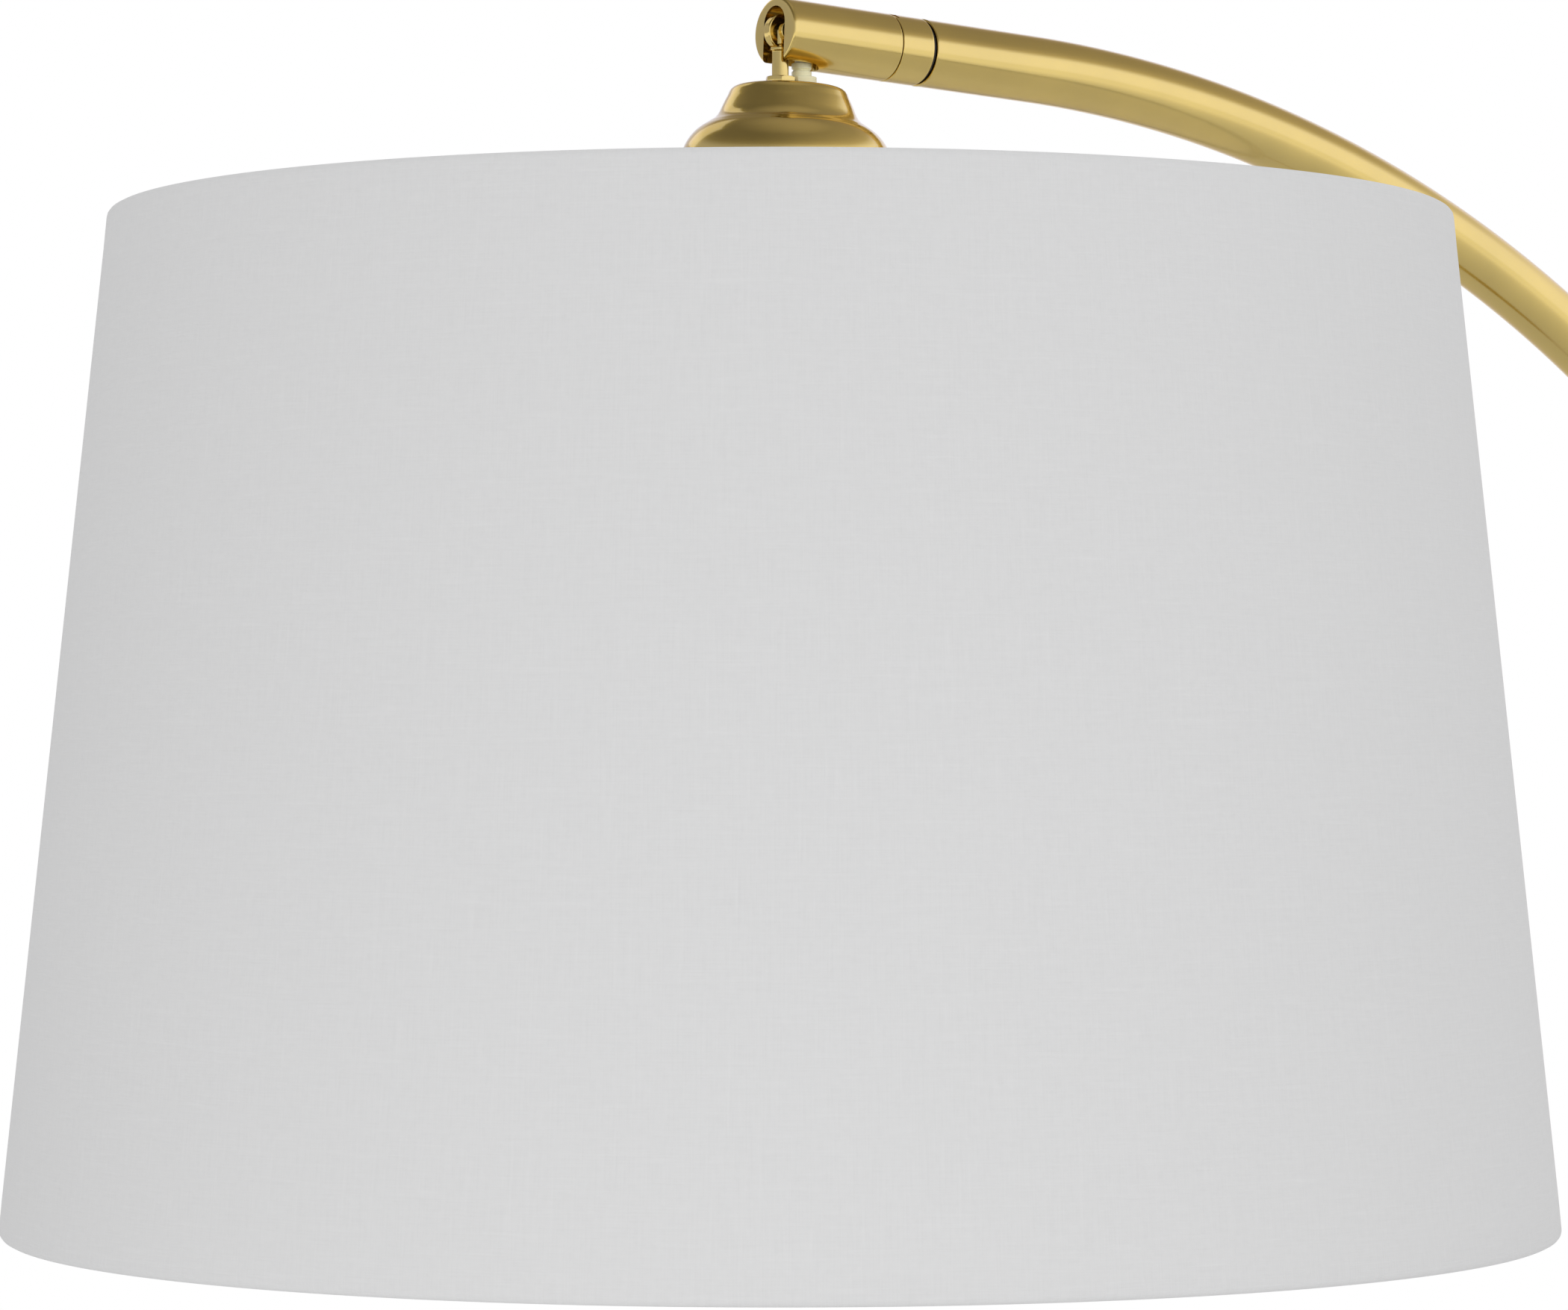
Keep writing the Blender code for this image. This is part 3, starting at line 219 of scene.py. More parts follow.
def straight(matrix):
    """Places for stations along the matrix's own Z axis."""
    x = matrix.to_3x3() @ Vector((1, 0, 0))
    y = matrix.to_3x3() @ Vector((0, 1, 0))
    return lambda s: (matrix @ Vector((0, 0, s)), x, y)


def arm_place(s):
    """A station on the arm's middle line, measured from the pivot, and two directions across it."""
    centre = PIVOT + ARM_STRAIGHT * ARM - ARC_R * Vector((math.sin(ARM_SLOPE), 0, math.cos(ARM_SLOPE)))
    if s <= ARM_STRAIGHT:
        point, along = PIVOT + s * ARM, ARM
    elif s <= ARM_STRAIGHT + ARM_CURVED:
        turn = ARM_SLOPE + (s - ARM_STRAIGHT) / ARC_R
        point = centre + ARC_R * Vector((math.sin(turn), 0, math.cos(turn)))
        along = Vector((math.cos(turn), 0, -math.sin(turn)))
    else:
        point = centre + Vector((ARC_R, 0, ARM_STRAIGHT + ARM_CURVED - s))
        along = Vector((0, 0, -1))
    return point, Vector((along.z, 0, -along.x)), Vector((0, 1, 0))


def arc(centre, radius, start, end, count):
    """Points on an arc in the (radius, height) plane, angles in degrees from straight out."""
    turns = (math.radians(start + (end - start) * i / (count - 1)) for i in range(count))
    return [(centre[0] + radius * math.cos(a), centre[1] + radius * math.sin(a)) for a in turns]


def smooth_curve(points, count):
    """A Catmull-Rom curve through the points, count steps between two of them."""
    ends = [Vector(points[0]) * 2 - Vector(points[1])]
    ends += [Vector(p) for p in points]
    ends += [Vector(points[-1]) * 2 - Vector(points[-2])]
    curve = []
    for a, b, c, d in zip(ends, ends[1:], ends[2:], ends[3:]):
        for i in range(count):
            t = i / count
            curve.append(0.5 * (2 * b + (c - a) * t + (2 * a - 5 * b + 4 * c - d) * t * t
                                + (3 * b - a - 3 * c + d) * t * t * t))
    curve.append(Vector(points[-1]))
    return [tuple(p) for p in curve]


def offset(path, distance):
    """The path moved sideways, to the left of its direction."""
    moved = []
    for i, here in enumerate(path):
        before = Vector(path[max(i - 1, 0)])
        after = Vector(path[min(i + 1, len(path) - 1)])
        sides = [d for d in (Vector(here) - before, after - Vector(here)) if d.length > 0]
        normals = [Vector((-d.y, d.x)).normalized() for d in sides]
        middle = sum(normals, Vector((0, 0))).normalized()
        moved.append(tuple(Vector(here) + middle * (distance / middle.dot(normals[0]))))
    return moved


def rounded(corners, closed=True, default=0.0003, steps=4):
    """(radius, station, wear) points of an outline whose corners are (radius, station[, fillet]).

    Wear, which the materials also use for a painted edge highlight, rises to 1 on the fillets. Points close
    to each fillet keep the long runs between them flat.
    """
    points = []
    count = len(corners)
    for i, corner in enumerate(corners):
        here = Vector(corner[:2])
        fillet = corner[2] if len(corner) > 2 else default
        if not closed and i in (0, count - 1):
            points.append((*here, 0.0))
            continue
        back = Vector(corners[i - 1][:2]) - here
        ahead = Vector(corners[(i + 1) % count][:2]) - here
        turn = math.pi - back.angle(ahead)
        reach = min(fillet * math.tan(turn / 2), 0.45 * back.length, 0.45 * ahead.length)
        if fillet <= 0 or turn < 0.05:
            points.append((*here, 0.0))
            continue
        start, end = (here + side.normalized() * reach for side in (back, ahead))
        run_in, run_out = (edge + side.normalized() * min(0.5 * reach, 0.04 * side.length)
                           for edge, side in ((start, back), (end, ahead)))
        points.append((*run_in, 0.0))
        for k in range(steps + 1):
            t = k / steps
            bend = (1 - t) ** 2 * start + 2 * t * (1 - t) * here + t * t * end
            points.append((*bend, 1.0 - abs(2 * t - 1) * 0.5))
        points.append((*run_out, 0.0))
    return points


def plain(points):
    """Outline points with no wear and no fillets."""
    return [(p[0], p[1], 0.0) for p in points]


def linked(name, data):
    """A new object in the scene."""
    obj = bpy.data.objects.new(name, data)
    bpy.context.scene.collection.objects.link(obj)
    return obj


def piece(name, mesh, material, body, *stands_for):
    """A piece that rides on the body and stands for the CAD nodes named last."""
    obj = linked(name, mesh)
    mesh.materials.clear()
    mesh.materials.append(material)
    if stands_for:
        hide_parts(*stands_for)
    if body:
        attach(obj, body)
    return obj


def turned_piece(name, outline, place, steps, material, body, node, ripple=None):
    return piece(name, revolved(name, outline, place, steps, ripple), material, body, node)


def smooth(mesh, angle=35):
    mesh.shade_smooth()
    mesh.set_sharp_from_angle(angle=math.radians(angle))


def revolved(name, outline, place, steps, ripple=None):
    """A mesh turned round a matrix's Z axis, or round the line that a function of the station gives.

    outline holds (radius, station, wear and painted edge highlight), and an open one starts and ends on the
    line.
    ripple(turn, point number) is added to the radius.
    """
    if isinstance(place, Matrix):
        place = straight(place)
    build = bmesh.new()
    # per point: the fillet mask, for rubbing wear and a painted edge highlight
    wear_and_highlight = build.verts.layers.float.new("wear_and_highlight")
    uv = build.loops.layers.uv.new("around_and_along")
    reach = max(p[0] for p in outline)
    rows = []
    along = [0.0]
    for a, b in zip(outline, outline[1:]):
        along.append(along[-1] + math.hypot(b[0] - a[0], b[1] - a[1]))
    for k, (radius, station, worn_and_highlighted) in enumerate(outline):
        origin, x, y = place(station)
        if radius < 1e-7:
            vert = build.verts.new(origin)
            vert[wear_and_highlight] = worn_and_highlighted
            rows.append([vert] * steps)
            continue
        row = []
        for i in range(steps):
            turn = 2 * math.pi * i / steps
            r = radius + (ripple(turn, k) if ripple else 0.0)
            vert = build.verts.new(origin + r * (math.cos(turn) * x + math.sin(turn) * y))
            vert[wear_and_highlight] = worn_and_highlighted
            row.append(vert)
        rows.append(row)
    closed = outline[0][0] > 1e-7
    along.append(along[-1] + math.hypot(outline[0][0] - outline[-1][0], outline[0][1] - outline[-1][1]))
    for k in range(len(rows) if closed else len(rows) - 1):
        lower, upper = rows[k], rows[(k + 1) % len(rows)]
        for i in range(steps):
            j = (i + 1) % steps
            corners = [(lower[i], i, k), (lower[j], i + 1, k), (upper[j], i + 1, k + 1), (upper[i], i, k + 1)]
            seen = []
            for corner in corners:
                if corner[0] not in [c[0] for c in seen]:
                    seen.append(corner)
            face = build.faces.new([corner[0] for corner in seen])
            for loop, (_, column, level) in zip(face.loops, seen):
                loop[uv].uv = (2 * math.pi * reach * column / steps, along[level])
    bmesh.ops.recalc_face_normals(build, faces=build.faces)
    mesh = bpy.data.meshes.new(name)
    build.to_mesh(mesh)
    build.free()
    smooth(mesh)
    return mesh


def extruded(name, loop, thickness, matrix):
    """A flat outline, middle at Z = 0 of the matrix, as a closed mesh."""
    build = bmesh.new()
    lower = [build.verts.new(matrix @ Vector((x, y, -thickness / 2))) for x, y in loop]
    upper = [build.verts.new(matrix @ Vector((x, y, thickness / 2))) for x, y in loop]
    build.faces.new(lower[::-1])
    build.faces.new(upper)
    for i in range(len(loop)):
        j = (i + 1) % len(loop)
        build.faces.new([lower[i], lower[j], upper[j], upper[i]])
    bmesh.ops.recalc_face_normals(build, faces=build.faces)
    mesh = bpy.data.meshes.new(name)
    build.to_mesh(mesh)
    build.free()
    return mesh


def applied(obj):
    """The object's mesh with its modifiers applied."""
    return bpy.data.meshes.new_from_object(obj.evaluated_get(bpy.context.evaluated_depsgraph_get()))


def combined(mesh, others, operation):
    """The mesh after one exact Boolean with each of the other meshes."""
    base = linked("boolean_base", mesh)
    for number, other in enumerate(others):
        tool = linked(f"boolean_tool_{number}", other)
        step = base.modifiers.new("cut", "BOOLEAN")
        step.operation = operation
        step.solver = "EXACT"
        step.object = tool
        shape = applied(base)
        base.modifiers.clear()
        base.data = shape
        bpy.data.objects.remove(tool)
    shape = base.data
    bpy.data.objects.remove(base)
    return shape


def bevelled(mesh, width, segments=2, angle=40):
    """The mesh with its sharp edges rounded."""
    base = linked("bevel_base", mesh)
    step = base.modifiers.new("edge", "BEVEL")
    step.width = width
    step.segments = segments
    step.limit_method = "ANGLE"
    step.angle_limit = math.radians(angle)
    shape = applied(base)
    bpy.data.objects.remove(base)
    smooth(shape)
    return shape


def cut(mesh, tools, angle=35):
    """The mesh without what the tools fill."""
    mesh = combined(mesh, tools, "DIFFERENCE")
    smooth(mesh, angle)
    return mesh


def rectangle(low, high, half):
    return [(low, -half), (high, -half), (high, half), (low, half)]


def rod(name, radius, start, end, matrix, steps=48):
    outline = plain([(0, start), (radius, start), (radius, end), (0, end)])
    return revolved(name, outline, matrix, steps)


# ---- materials

NOISE_LOW, NOISE_HIGH = 0.3, 0.7  # most of a noise's values lie between these


class Graph:
    """Shader nodes under construction, of a material or of the world."""

    def __init__(self, owner):
        owner.use_nodes = True
        self.nodes = owner.node_tree.nodes
        self.links = owner.node_tree.links

    def feed(self, socket, value):
        """Links another node's output to the socket, or sets the value on it."""
        if isinstance(value, bpy.types.NodeSocket):
            self.links.new(value, socket)
        else:
            socket.default_value = value

    def node(self, kind, inputs, **settings):
        """A new node. The inputs go by the name or the number of their socket."""
        made = self.nodes.new("ShaderNode" + kind)
        for key, value in settings.items():
            setattr(made, key, value)
        for key, value in inputs.items():
            self.feed(made.inputs[key], value)
        return made

    def math(self, operation, a, b, **settings):
        return self.node("Math", {0: a, 1: b}, operation=operation, **settings).outputs["Value"]

    def ramp(self, value, stops):
        """A colour ramp: stops are (position, colour)."""
        node = self.node("ValToRGB", {"Fac": value})
        elements = node.color_ramp.elements
        while len(elements) < len(stops):
            elements.new(0.5)
        for element, (position, colour) in zip(elements, stops):
            element.position = position
            element.color = (*colour, 1.0)
        return node.outputs["Color"]

    def rays(self, *names):
        """1 for rays of the kinds named, as the Light Path node names them."""
        path = self.node("LightPath", {})
        total = path.outputs[names[0]]
        for name in names[1:]:
            total = self.math("ADD", total, path.outputs[name], use_clamp=True)
        return total

    def mix_shaders(self, factor, a, b):
        return self.node("MixShader", {"Fac": factor, 1: a, 2: b}).outputs[0]


class Recipe(Graph):
    """A node material under construction."""

    def __init__(self, name, coordinates="around_and_along"):
        self.material = bpy.data.materials.new(name)
        super().__init__(self.material)
        self.shader = self.nodes["Principled BSDF"]
        if coordinates == "object":
            self.where = self.node("TexCoord", {}).outputs["Object"]
        else:
            self.where = self.node("UVMap", {}, uv_map=coordinates).outputs["UV"]

    def set(self, **values):
        """Feeds the shader's sockets, with _ for each space in a socket's name."""
        for key, value in values.items():
            self.feed(self.shader.inputs[key.replace("_", " ")], value)

    def noise(self, factors, detail=2.0, roughness=0.5):
        """Noise from 0 to 1 whose scale along each coordinate is given in features per metre."""
        scaled = self.node("VectorMath", {0: self.where, 1: factors}, operation="MULTIPLY").outputs["Vector"]
        inputs = {"Scale": 1.0, "Detail": detail, "Roughness": roughness, "Vector": scaled}
        return self.node("TexNoise", inputs).outputs["Fac"]

    # The fillet mask: rubbing wear, and where the colour is lightened a painted edge highlight
    def worn_and_highlighted(self):
        return self.node("Attribute", {}, attribute_name="wear_and_highlight").outputs["Fac"]

    def spread(self, value, low, high, start=0.0, end=1.0):
        """The value mapped from start..end to low..high."""
        inputs = {"Value": value, "From Min": start, "From Max": end, "To Min": low, "To Max": high}
        return self.node("MapRange", inputs).outputs["Result"]

    def toned(self, noise, dark, light):
        return self.ramp(noise, [(NOISE_LOW, dark), (NOISE_HIGH, light)])

    def varied(self, noise, low, high):
        return self.spread(noise, low, high, NOISE_LOW, NOISE_HIGH)

    def mix(self, factor, a, b):
        node = self.node("Mix", {"Factor": factor}, data_type="RGBA")
        for socket, value in zip((s for s in node.inputs if s.type == "RGBA"), (a, b)):
            self.feed(socket, (*value, 1.0) if isinstance(value, tuple) else value)
        return next(s for s in node.outputs if s.type == "RGBA")

    def bump(self, height, strength, distance):
        inputs = {"Strength": strength, "Distance": distance, "Height": height}
        self.set(Normal=self.node("Bump", inputs).outputs["Normal"])


def shade_of(colour, factor):
    return tuple(min(1.0, c * factor) for c in colour)


def metal(name, colour, rough, coat, fine=9000.0, coordinates="around_and_along"):
    """Satin metal: fine turning marks, cloudy tone, smoother where edges are rubbed, and brighter there as
    wear and as a painted edge highlight.
    """
    made = Recipe(name, coordinates)
    made.set(Metallic=1.0, Coat_Weight=coat, Coat_Roughness=0.10, Coat_IOR=1.9)
    made.set(Specular_Tint=(*shade_of(colour, 0.75), 1.0))
    if coordinates == "object":
        marks = made.noise((fine * 0.3,) * 3, 2.0, 0.6)
        clouds = made.noise((55.0,) * 3, 3.0)
    else:
        marks = made.noise((90.0, fine, 1.0), 2.0, 0.6)
        clouds = made.noise((55.0, 45.0, 1.0), 3.0)
    tone = made.toned(clouds, shade_of(colour, 0.95), shade_of(colour, 1.03))
    worn_and_highlighted = made.worn_and_highlighted()
    # fillets get a lighter colour: rubbing wear and a painted edge highlight
    made.set(Base_Color=made.mix(made.spread(worn_and_highlighted, 0.0, 0.5), tone, shade_of(colour, 1.12)))
    base = made.math("ADD", made.varied(clouds, rough - 0.03, rough + 0.03), made.varied(marks, -0.03, 0.03))
    made.set(Roughness=made.math("SUBTRACT", base, made.spread(worn_and_highlighted, 0.0, 0.05)))
    made.bump(marks, 0.12, 0.00002)
    return made.material


def moulded(name, colour, rough, grain, strength, coordinates="around_and_along", coat=0.0, uneven=1.0):
    """Moulded plastic or rubber: fine grain, slightly uneven tone, edges lighter as rubbing wear and as a
    painted edge highlight.
    """
    made = Recipe(name, coordinates)
    made.set(Coat_Weight=coat, Coat_Roughness=0.15)
    texture = made.noise((grain,) * 3, 3.0, 0.6)
    clouds = made.noise((80.0,) * 3, 2.0)
    tone = made.toned(clouds, shade_of(colour, 1 - 0.07 * uneven), shade_of(colour, 1 + 0.04 * uneven))
    # fillets get a lighter colour: rubbing wear and a painted edge highlight
    made.set(Base_Color=made.mix(made.spread(made.worn_and_highlighted(), 0.0, 0.35), tone, shade_of(colour, 1.25)))
    made.set(Roughness=made.varied(texture, rough - 0.07, rough + 0.07))
    made.bump(texture, strength, 0.0001)
    return made.material


def woven(name, colour):
    """Plain-woven linen: each thread has its own tone and thickness, with long thin slubs both ways."""
    made = Recipe(name)
    made.set(Sheen_Weight=0.10, Sheen_Roughness=0.5, Specular_IOR_Level=0.12)
    weft = made.noise((70.0, 2300.0, 1.0), 1.5, 0.55)
    warp = made.noise((2300.0, 60.0, 1.0), 1.5, 0.55)
    slub_weft = made.noise((38.0, 620.0, 1.0), 2.0, 0.5)
    slub_warp = made.noise((620.0, 30.0, 1.0), 2.0, 0.5)
    mottle = made.noise((420.0, 420.0, 1.0), 2.0, 0.6)
    threads = made.math("ADD", made.spread(weft, -0.5, 0.5, 0.2, 0.8), made.spread(warp, -0.5, 0.5, 0.2, 0.8))
    slubs = made.math("ADD", made.spread(slub_weft, 0.0, 1.0, 0.56, 0.78),
                      made.spread(slub_warp, 0.0, 1.0, 0.58, 0.80))
    tone = made.math("ADD", made.math("MULTIPLY", threads, 0.30), made.math("MULTIPLY", slubs, 0.22))
    tone = made.math("ADD", tone, made.varied(mottle, -0.10, 0.10))
    tone = made.math("ADD", tone, 0.5)
    dark, light = shade_of(colour, 0.945), shade_of(colour, 1.04)
    made.set(Base_Color=made.ramp(tone, [(0.0, dark), (0.5, colour), (1.0, light)]))
    made.set(Roughness=made.spread(tone, 0.95, 0.82))
    made.bump(made.math("ADD", threads, slubs), 0.25, 0.0001)
    return made.material


def opal(name, colour):
    """Frosted glass with a faint mist in it."""
    made = Recipe(name)
    made.set(Subsurface_Weight=0.25, Subsurface_Scale=0.004, Coat_Weight=0.6, Coat_Roughness=0.04)
    mist = made.noise((160.0, 160.0, 1.0), 3.0)
    made.set(Base_Color=made.toned(mist, shade_of(colour, 0.97), colour))
    made.set(Roughness=made.varied(mist, 0.12, 0.20))
    return made.material


BRASS_COLOUR = (0.76, 0.55, 0.125)
STEEL_COLOUR = (0.60, 0.60, 0.61)
CONTACT_COLOUR = (0.70, 0.54, 0.22)
LEAD_COLOUR = (0.80, 0.75, 0.60)
BRASS = metal("satin_brass", BRASS_COLOUR, 0.19, 1.0)
STEEL = metal("zinc_steel", STEEL_COLOUR, 0.34, 0.0)
CONTACT = metal("contact_brass", CONTACT_COLOUR, 0.26, 0.0)
LINEN = woven("linen_fabric", (0.660, 0.660, 0.663))
STYRENE = moulded("white_styrene", (0.84, 0.835, 0.82), 0.42, 700.0, 0.03, uneven=0.12)
RUBBER = moulded("black_rubber", (0.030, 0.030, 0.031), 0.80, 1500.0, 0.4)
NYLON = moulded("black_nylon", (0.022, 0.021, 0.020), 0.50, 1800.0, 0.25)
CREAM = moulded("cream_plastic", (1.0, 0.925, 0.60), 0.30, 1200.0, 0.10, coat=0.3)
LEAD_SKIN = moulded("lead_plastic", LEAD_COLOUR, 0.36, 1400.0, 0.15)
PHENOLIC = moulded("black_phenolic", (0.028, 0.025, 0.023), 0.30, 1600.0, 0.15, coat=0.4)
OPAL = opal("opal_glass", (0.86, 0.86, 0.84))

# By object coordinates, for CAD nodes and for shapes that aren't simply turned
BRASS_PLAIN = metal("satin_brass_plain", BRASS_COLOUR, 0.21, 1.0, fine=5000.0, coordinates="object")
STEEL_PLAIN = metal("zinc_steel_plain", STEEL_COLOUR, 0.36, 0.0, fine=5000.0, coordinates="object")
CONTACT_PLAIN = metal("contact_brass_plain", CONTACT_COLOUR, 0.28, 0.0, fine=5000.0, coordinates="object")
LEAD_PLAIN = moulded("lead_plastic_plain", LEAD_COLOUR, 0.36, 1400.0, 0.15, "object")
IRON = moulded("cast_iron", (0.060, 0.058, 0.056), 0.72, 900.0, 0.6, "object")


# ---- shade


def cone_r(height):
    """The cone's outer radius at a height below the top edge."""
    return SHADE_TOP_R + (SHADE_BOTTOM_R - SHADE_TOP_R) * height / SHADE_HEIGHT


def roll(rim_r, rim_z, up):
    """Middle of the fabric where it rolls over a wire, from the outer side round to the inside."""
    middle_r = WIRE_R + GAP + FABRIC / 2
    centre = (rim_r - FABRIC / 2 - middle_r, rim_z - up * (FABRIC / 2 + middle_r))
    return arc(centre, middle_r, 0, up * 200, 9)


def shade():
    """The fabric, hemmed over both wires and notched for the spider's arms, its liner and the wires."""
    inner = FABRIC + 0.0006 + LINER + FABRIC / 2
    path = [(cone_r(TURN_IN) - inner, -TURN_IN)]
    path += roll(SHADE_TOP_R, 0, 1)[::-1]
    rows = 36
    for i in range(rows + 1):
        height = TURN_IN + (SHADE_HEIGHT - 2 * TURN_IN) * i / rows
        drift = EASE * (2 * i / rows - 1)
        path.append((cone_r(height) + drift - FABRIC / 2, -height))
    path += roll(SHADE_BOTTOM_R, -SHADE_HEIGHT, -1)
    path.append((cone_r(SHADE_HEIGHT - TURN_IN) - inner, TURN_IN - SHADE_HEIGHT))
    outline = offset(path, FABRIC / 2) + offset(path, -FABRIC / 2)[::-1]
    mesh = revolved("shade_skin", plain(outline), ON_RIM, 192)
    notches = [rod("notch", SPIDER_WIRE_R + 0.0005, SPIDER_END - 0.010, SPIDER_END + 0.001, line, 24)
               for line in spider_lines()]
    skin = piece("shade_skin", cut(mesh, notches, 50), LINEN, "head", "shade_fabric")

    ends = []
    inset = 2 * WIRE_DEPTH + 0.0012
    for height in (inset, SHADE_HEIGHT - inset):
        outer = cone_r(height) - FABRIC - GAP - EASE
        ends.append(((outer, -height), (outer - LINER, -height)))
    outline = rounded([ends[0][1], ends[0][0], ends[1][0], ends[1][1]], True, 0.0001, 2)
    turned_piece("shade_lining", outline, ON_RIM, 192, STYRENE, "head", "shade_liner")

    for end, radius, height in (("top", SHADE_TOP_R, -WIRE_DEPTH),
                                ("bottom", SHADE_BOTTOM_R, WIRE_DEPTH - SHADE_HEIGHT)):
        loop = plain(arc((radius - WIRE_DEPTH, height), WIRE_R, 0, 330, 12))
        turned_piece(f"{end}_wire", loop, ON_RIM, 192, STEEL, "head", f"{end}_ring")


def spider_lines():
    """The line of each spider arm, from the shade's middle outwards."""
    level = ON_RIM @ raised(-WIRE_DEPTH)
    turns = [rotated(SPIDER_TURN + 360 * i / SPIDER_ARMS, "Z") for i in range(SPIDER_ARMS)]
    return [level @ turn @ rotated(90, "Y") for turn in turns]


def spider():
    hole = THREAD_R + 2 * GAP
    outline = rounded([(FITTER_R, 0, 0.0004), (FITTER_R, -FITTER_THICKNESS, 0.0004),
                       (hole, -FITTER_THICKNESS, 0.0002), (hole, 0, 0.0002)])
    mesh = revolved("spider_frame", outline, ON_SOCKET, 96)
    start = RING_NUT_R + SOCKET_X + 2 * GAP
    outline = rounded([(0, start), (SPIDER_WIRE_R, start, 0.0007), (SPIDER_WIRE_R, SPIDER_END, 0.0003),
                       (0, SPIDER_END)], False)
    arms = [revolved("spider_arm", outline, line, 24) for line in spider_lines()]
    mesh = combined(mesh, arms, "UNION")
    smooth(mesh)
    piece("spider_frame", mesh, STEEL, "head", "spider")


# ---- socket, switch and bulb


def socket():
    """The socket's body with its thread outside, and the ring nut that clamps the spider."""
    body = [(SOCKET_HUB_R, 0.0210), (0.0170, 0.0210, 0.0010), (0.0170, THREAD_TOP)]
    for i in range(THREAD_TURNS):
        z = THREAD_TOP - THREAD_PITCH * i
        body += [(THREAD_R, z - 0.10 * THREAD_PITCH, 0.0003), (THREAD_R, z - 0.55 * THREAD_PITCH, 0.0003),
                 (0.0184, z - 0.75 * THREAD_PITCH, 0.0002), (0.0184, z - 0.95 * THREAD_PITCH, 0.0002)]
    body += [
        (SOCKET_R, -0.0150),
        (SOCKET_R, -0.0280, 0.0002),
        (0.0178, -0.0284, 0.0002),
        (0.0178, -0.0292, 0.0002),
        (SOCKET_R, -0.0296, 0.0002),
        (SOCKET_R, SOCKET_FOOT, 0.0008),
        (0.0152, SOCKET_FOOT, 0.0004),
        (0.0152, SOCKET_FLOOR),
        (SOCKET_HUB_R, SOCKET_FLOOR),
        (SOCKET_HUB_R, -0.0340),
        (0.0120, -0.0340),
        (0.0120, -0.0170),
        (SOCKET_HUB_R, -0.0170),
    ]
    mesh = revolved("socket_shell", rounded(body, True, 0.0002, 2), ON_SOCKET, 64)
    holes = [rod("hole", 0.0018, 0.0150, 0.0230, ON_SOCKET @ Matrix.Translation((x, 0, 0)), 24)
             for x in (-0.0135, 0.0135)]
    holes.append(rod("hole", KNOB_BORE_R, 0.008, 0.022, SWITCH_AXIS, 24))
    piece("socket_shell", cut(mesh, holes), PHENOLIC, "head", "socket_body")

    high = -FITTER_THICKNESS - GAP
    low = high - 0.0080
    bore = THREAD_R + GAP
    outline = rounded([(bore, high), (RING_NUT_R, high, 0.0006), (RING_NUT_R, high - 0.0022, 0.0008),
                       (0.0225, high - 0.0032, 0.0006), (0.0225, low, 0.0008), (bore, low)])
    turned_piece("shade_nut", outline, ON_SOCKET, 240, PHENOLIC, "head", "shade_ring_nut",
                 grooved(outline, 0.0262, 48, 0.0004))


def grooved(outline, least, count, deep):
    """A ripple of grooves along those points of the outline that lie further out than least."""
    edge = [k for k, point in enumerate(outline) if point[0] > least]
    return lambda turn, k: -deep * (0.5 - 0.5 * math.cos(count * turn)) if k in edge else 0.0


def bulb():
    tip = SOCKET_FLOOR - 0.0027 - 2 * GAP
    thread = [(0, tip), (0.0045, tip, 0.0006), (0.0055, tip - 0.0020, 0.0004), (0.0120, tip - 0.0045, 0.0008)]
    z = tip - 0.0060
    while z > SOCKET_FOOT + 0.0050:
        thread += [(BULB_CAP_R, z - 0.0010, 0.0009), (BULB_CAP_R - 0.0008, z - 0.0025, 0.0009)]
        z -= 0.0030
    thread += [(0.0130, SOCKET_FOOT + 0.0022, 0.0004), (BULB_CAP_R, SOCKET_FOOT, 0.0002), (0, SOCKET_FOOT)]
    turned_piece("bulb_cap", rounded(thread, False, 0.0004, 3), ON_SOCKET, 64, CONTACT, "head", "bulb_base")

    neck = SOCKET_FOOT - GAP
    end = neck - BULB_LENGTH
    shoulder = [(0.0142, neck), (0.0146, neck - 0.10 * BULB_LENGTH), (0.0200, neck - 0.28 * BULB_LENGTH)]
    outside = smooth_curve(shoulder + arc((0, end + BULB_R), BULB_R, 26, -90, 12), 5)[:-1]
    inside = offset(outside + [(0, end)], -GLASS)[:-1]
    inside[0] = (0.0130, neck)
    inside = [point for point in inside if point[0] > GLASS]
    outline = [(0, end + GLASS)] + inside[::-1] + outside + [(0, end)]
    turned_piece("bulb_glass", plain(outline), ON_SOCKET, 96, OPAL, "head", "bulb_globe")


def switch():
    knob = rounded([
        (0, KNOB_TOP),
        (0.0042, KNOB_TOP, 0.0004),
        (KNOB_R, 0.0322, 0.0008),
        (KNOB_R, 0.0230, 0.0006),
        (0.0045, KNOB_LOW, 0.0005),
        (KNOB_BORE_R, KNOB_LOW, 0.0002),
        (KNOB_BORE_R, 0.0310),
        (0, 0.0310),
    ], False)
    turned_piece("switch_grip", knob, SWITCH_AXIS, 144, PHENOLIC, "switch_key", "switch_knob",
                 grooved(knob, 0.0056, 18, 0.0005))


# ---- cap, nuts, bush and hanger


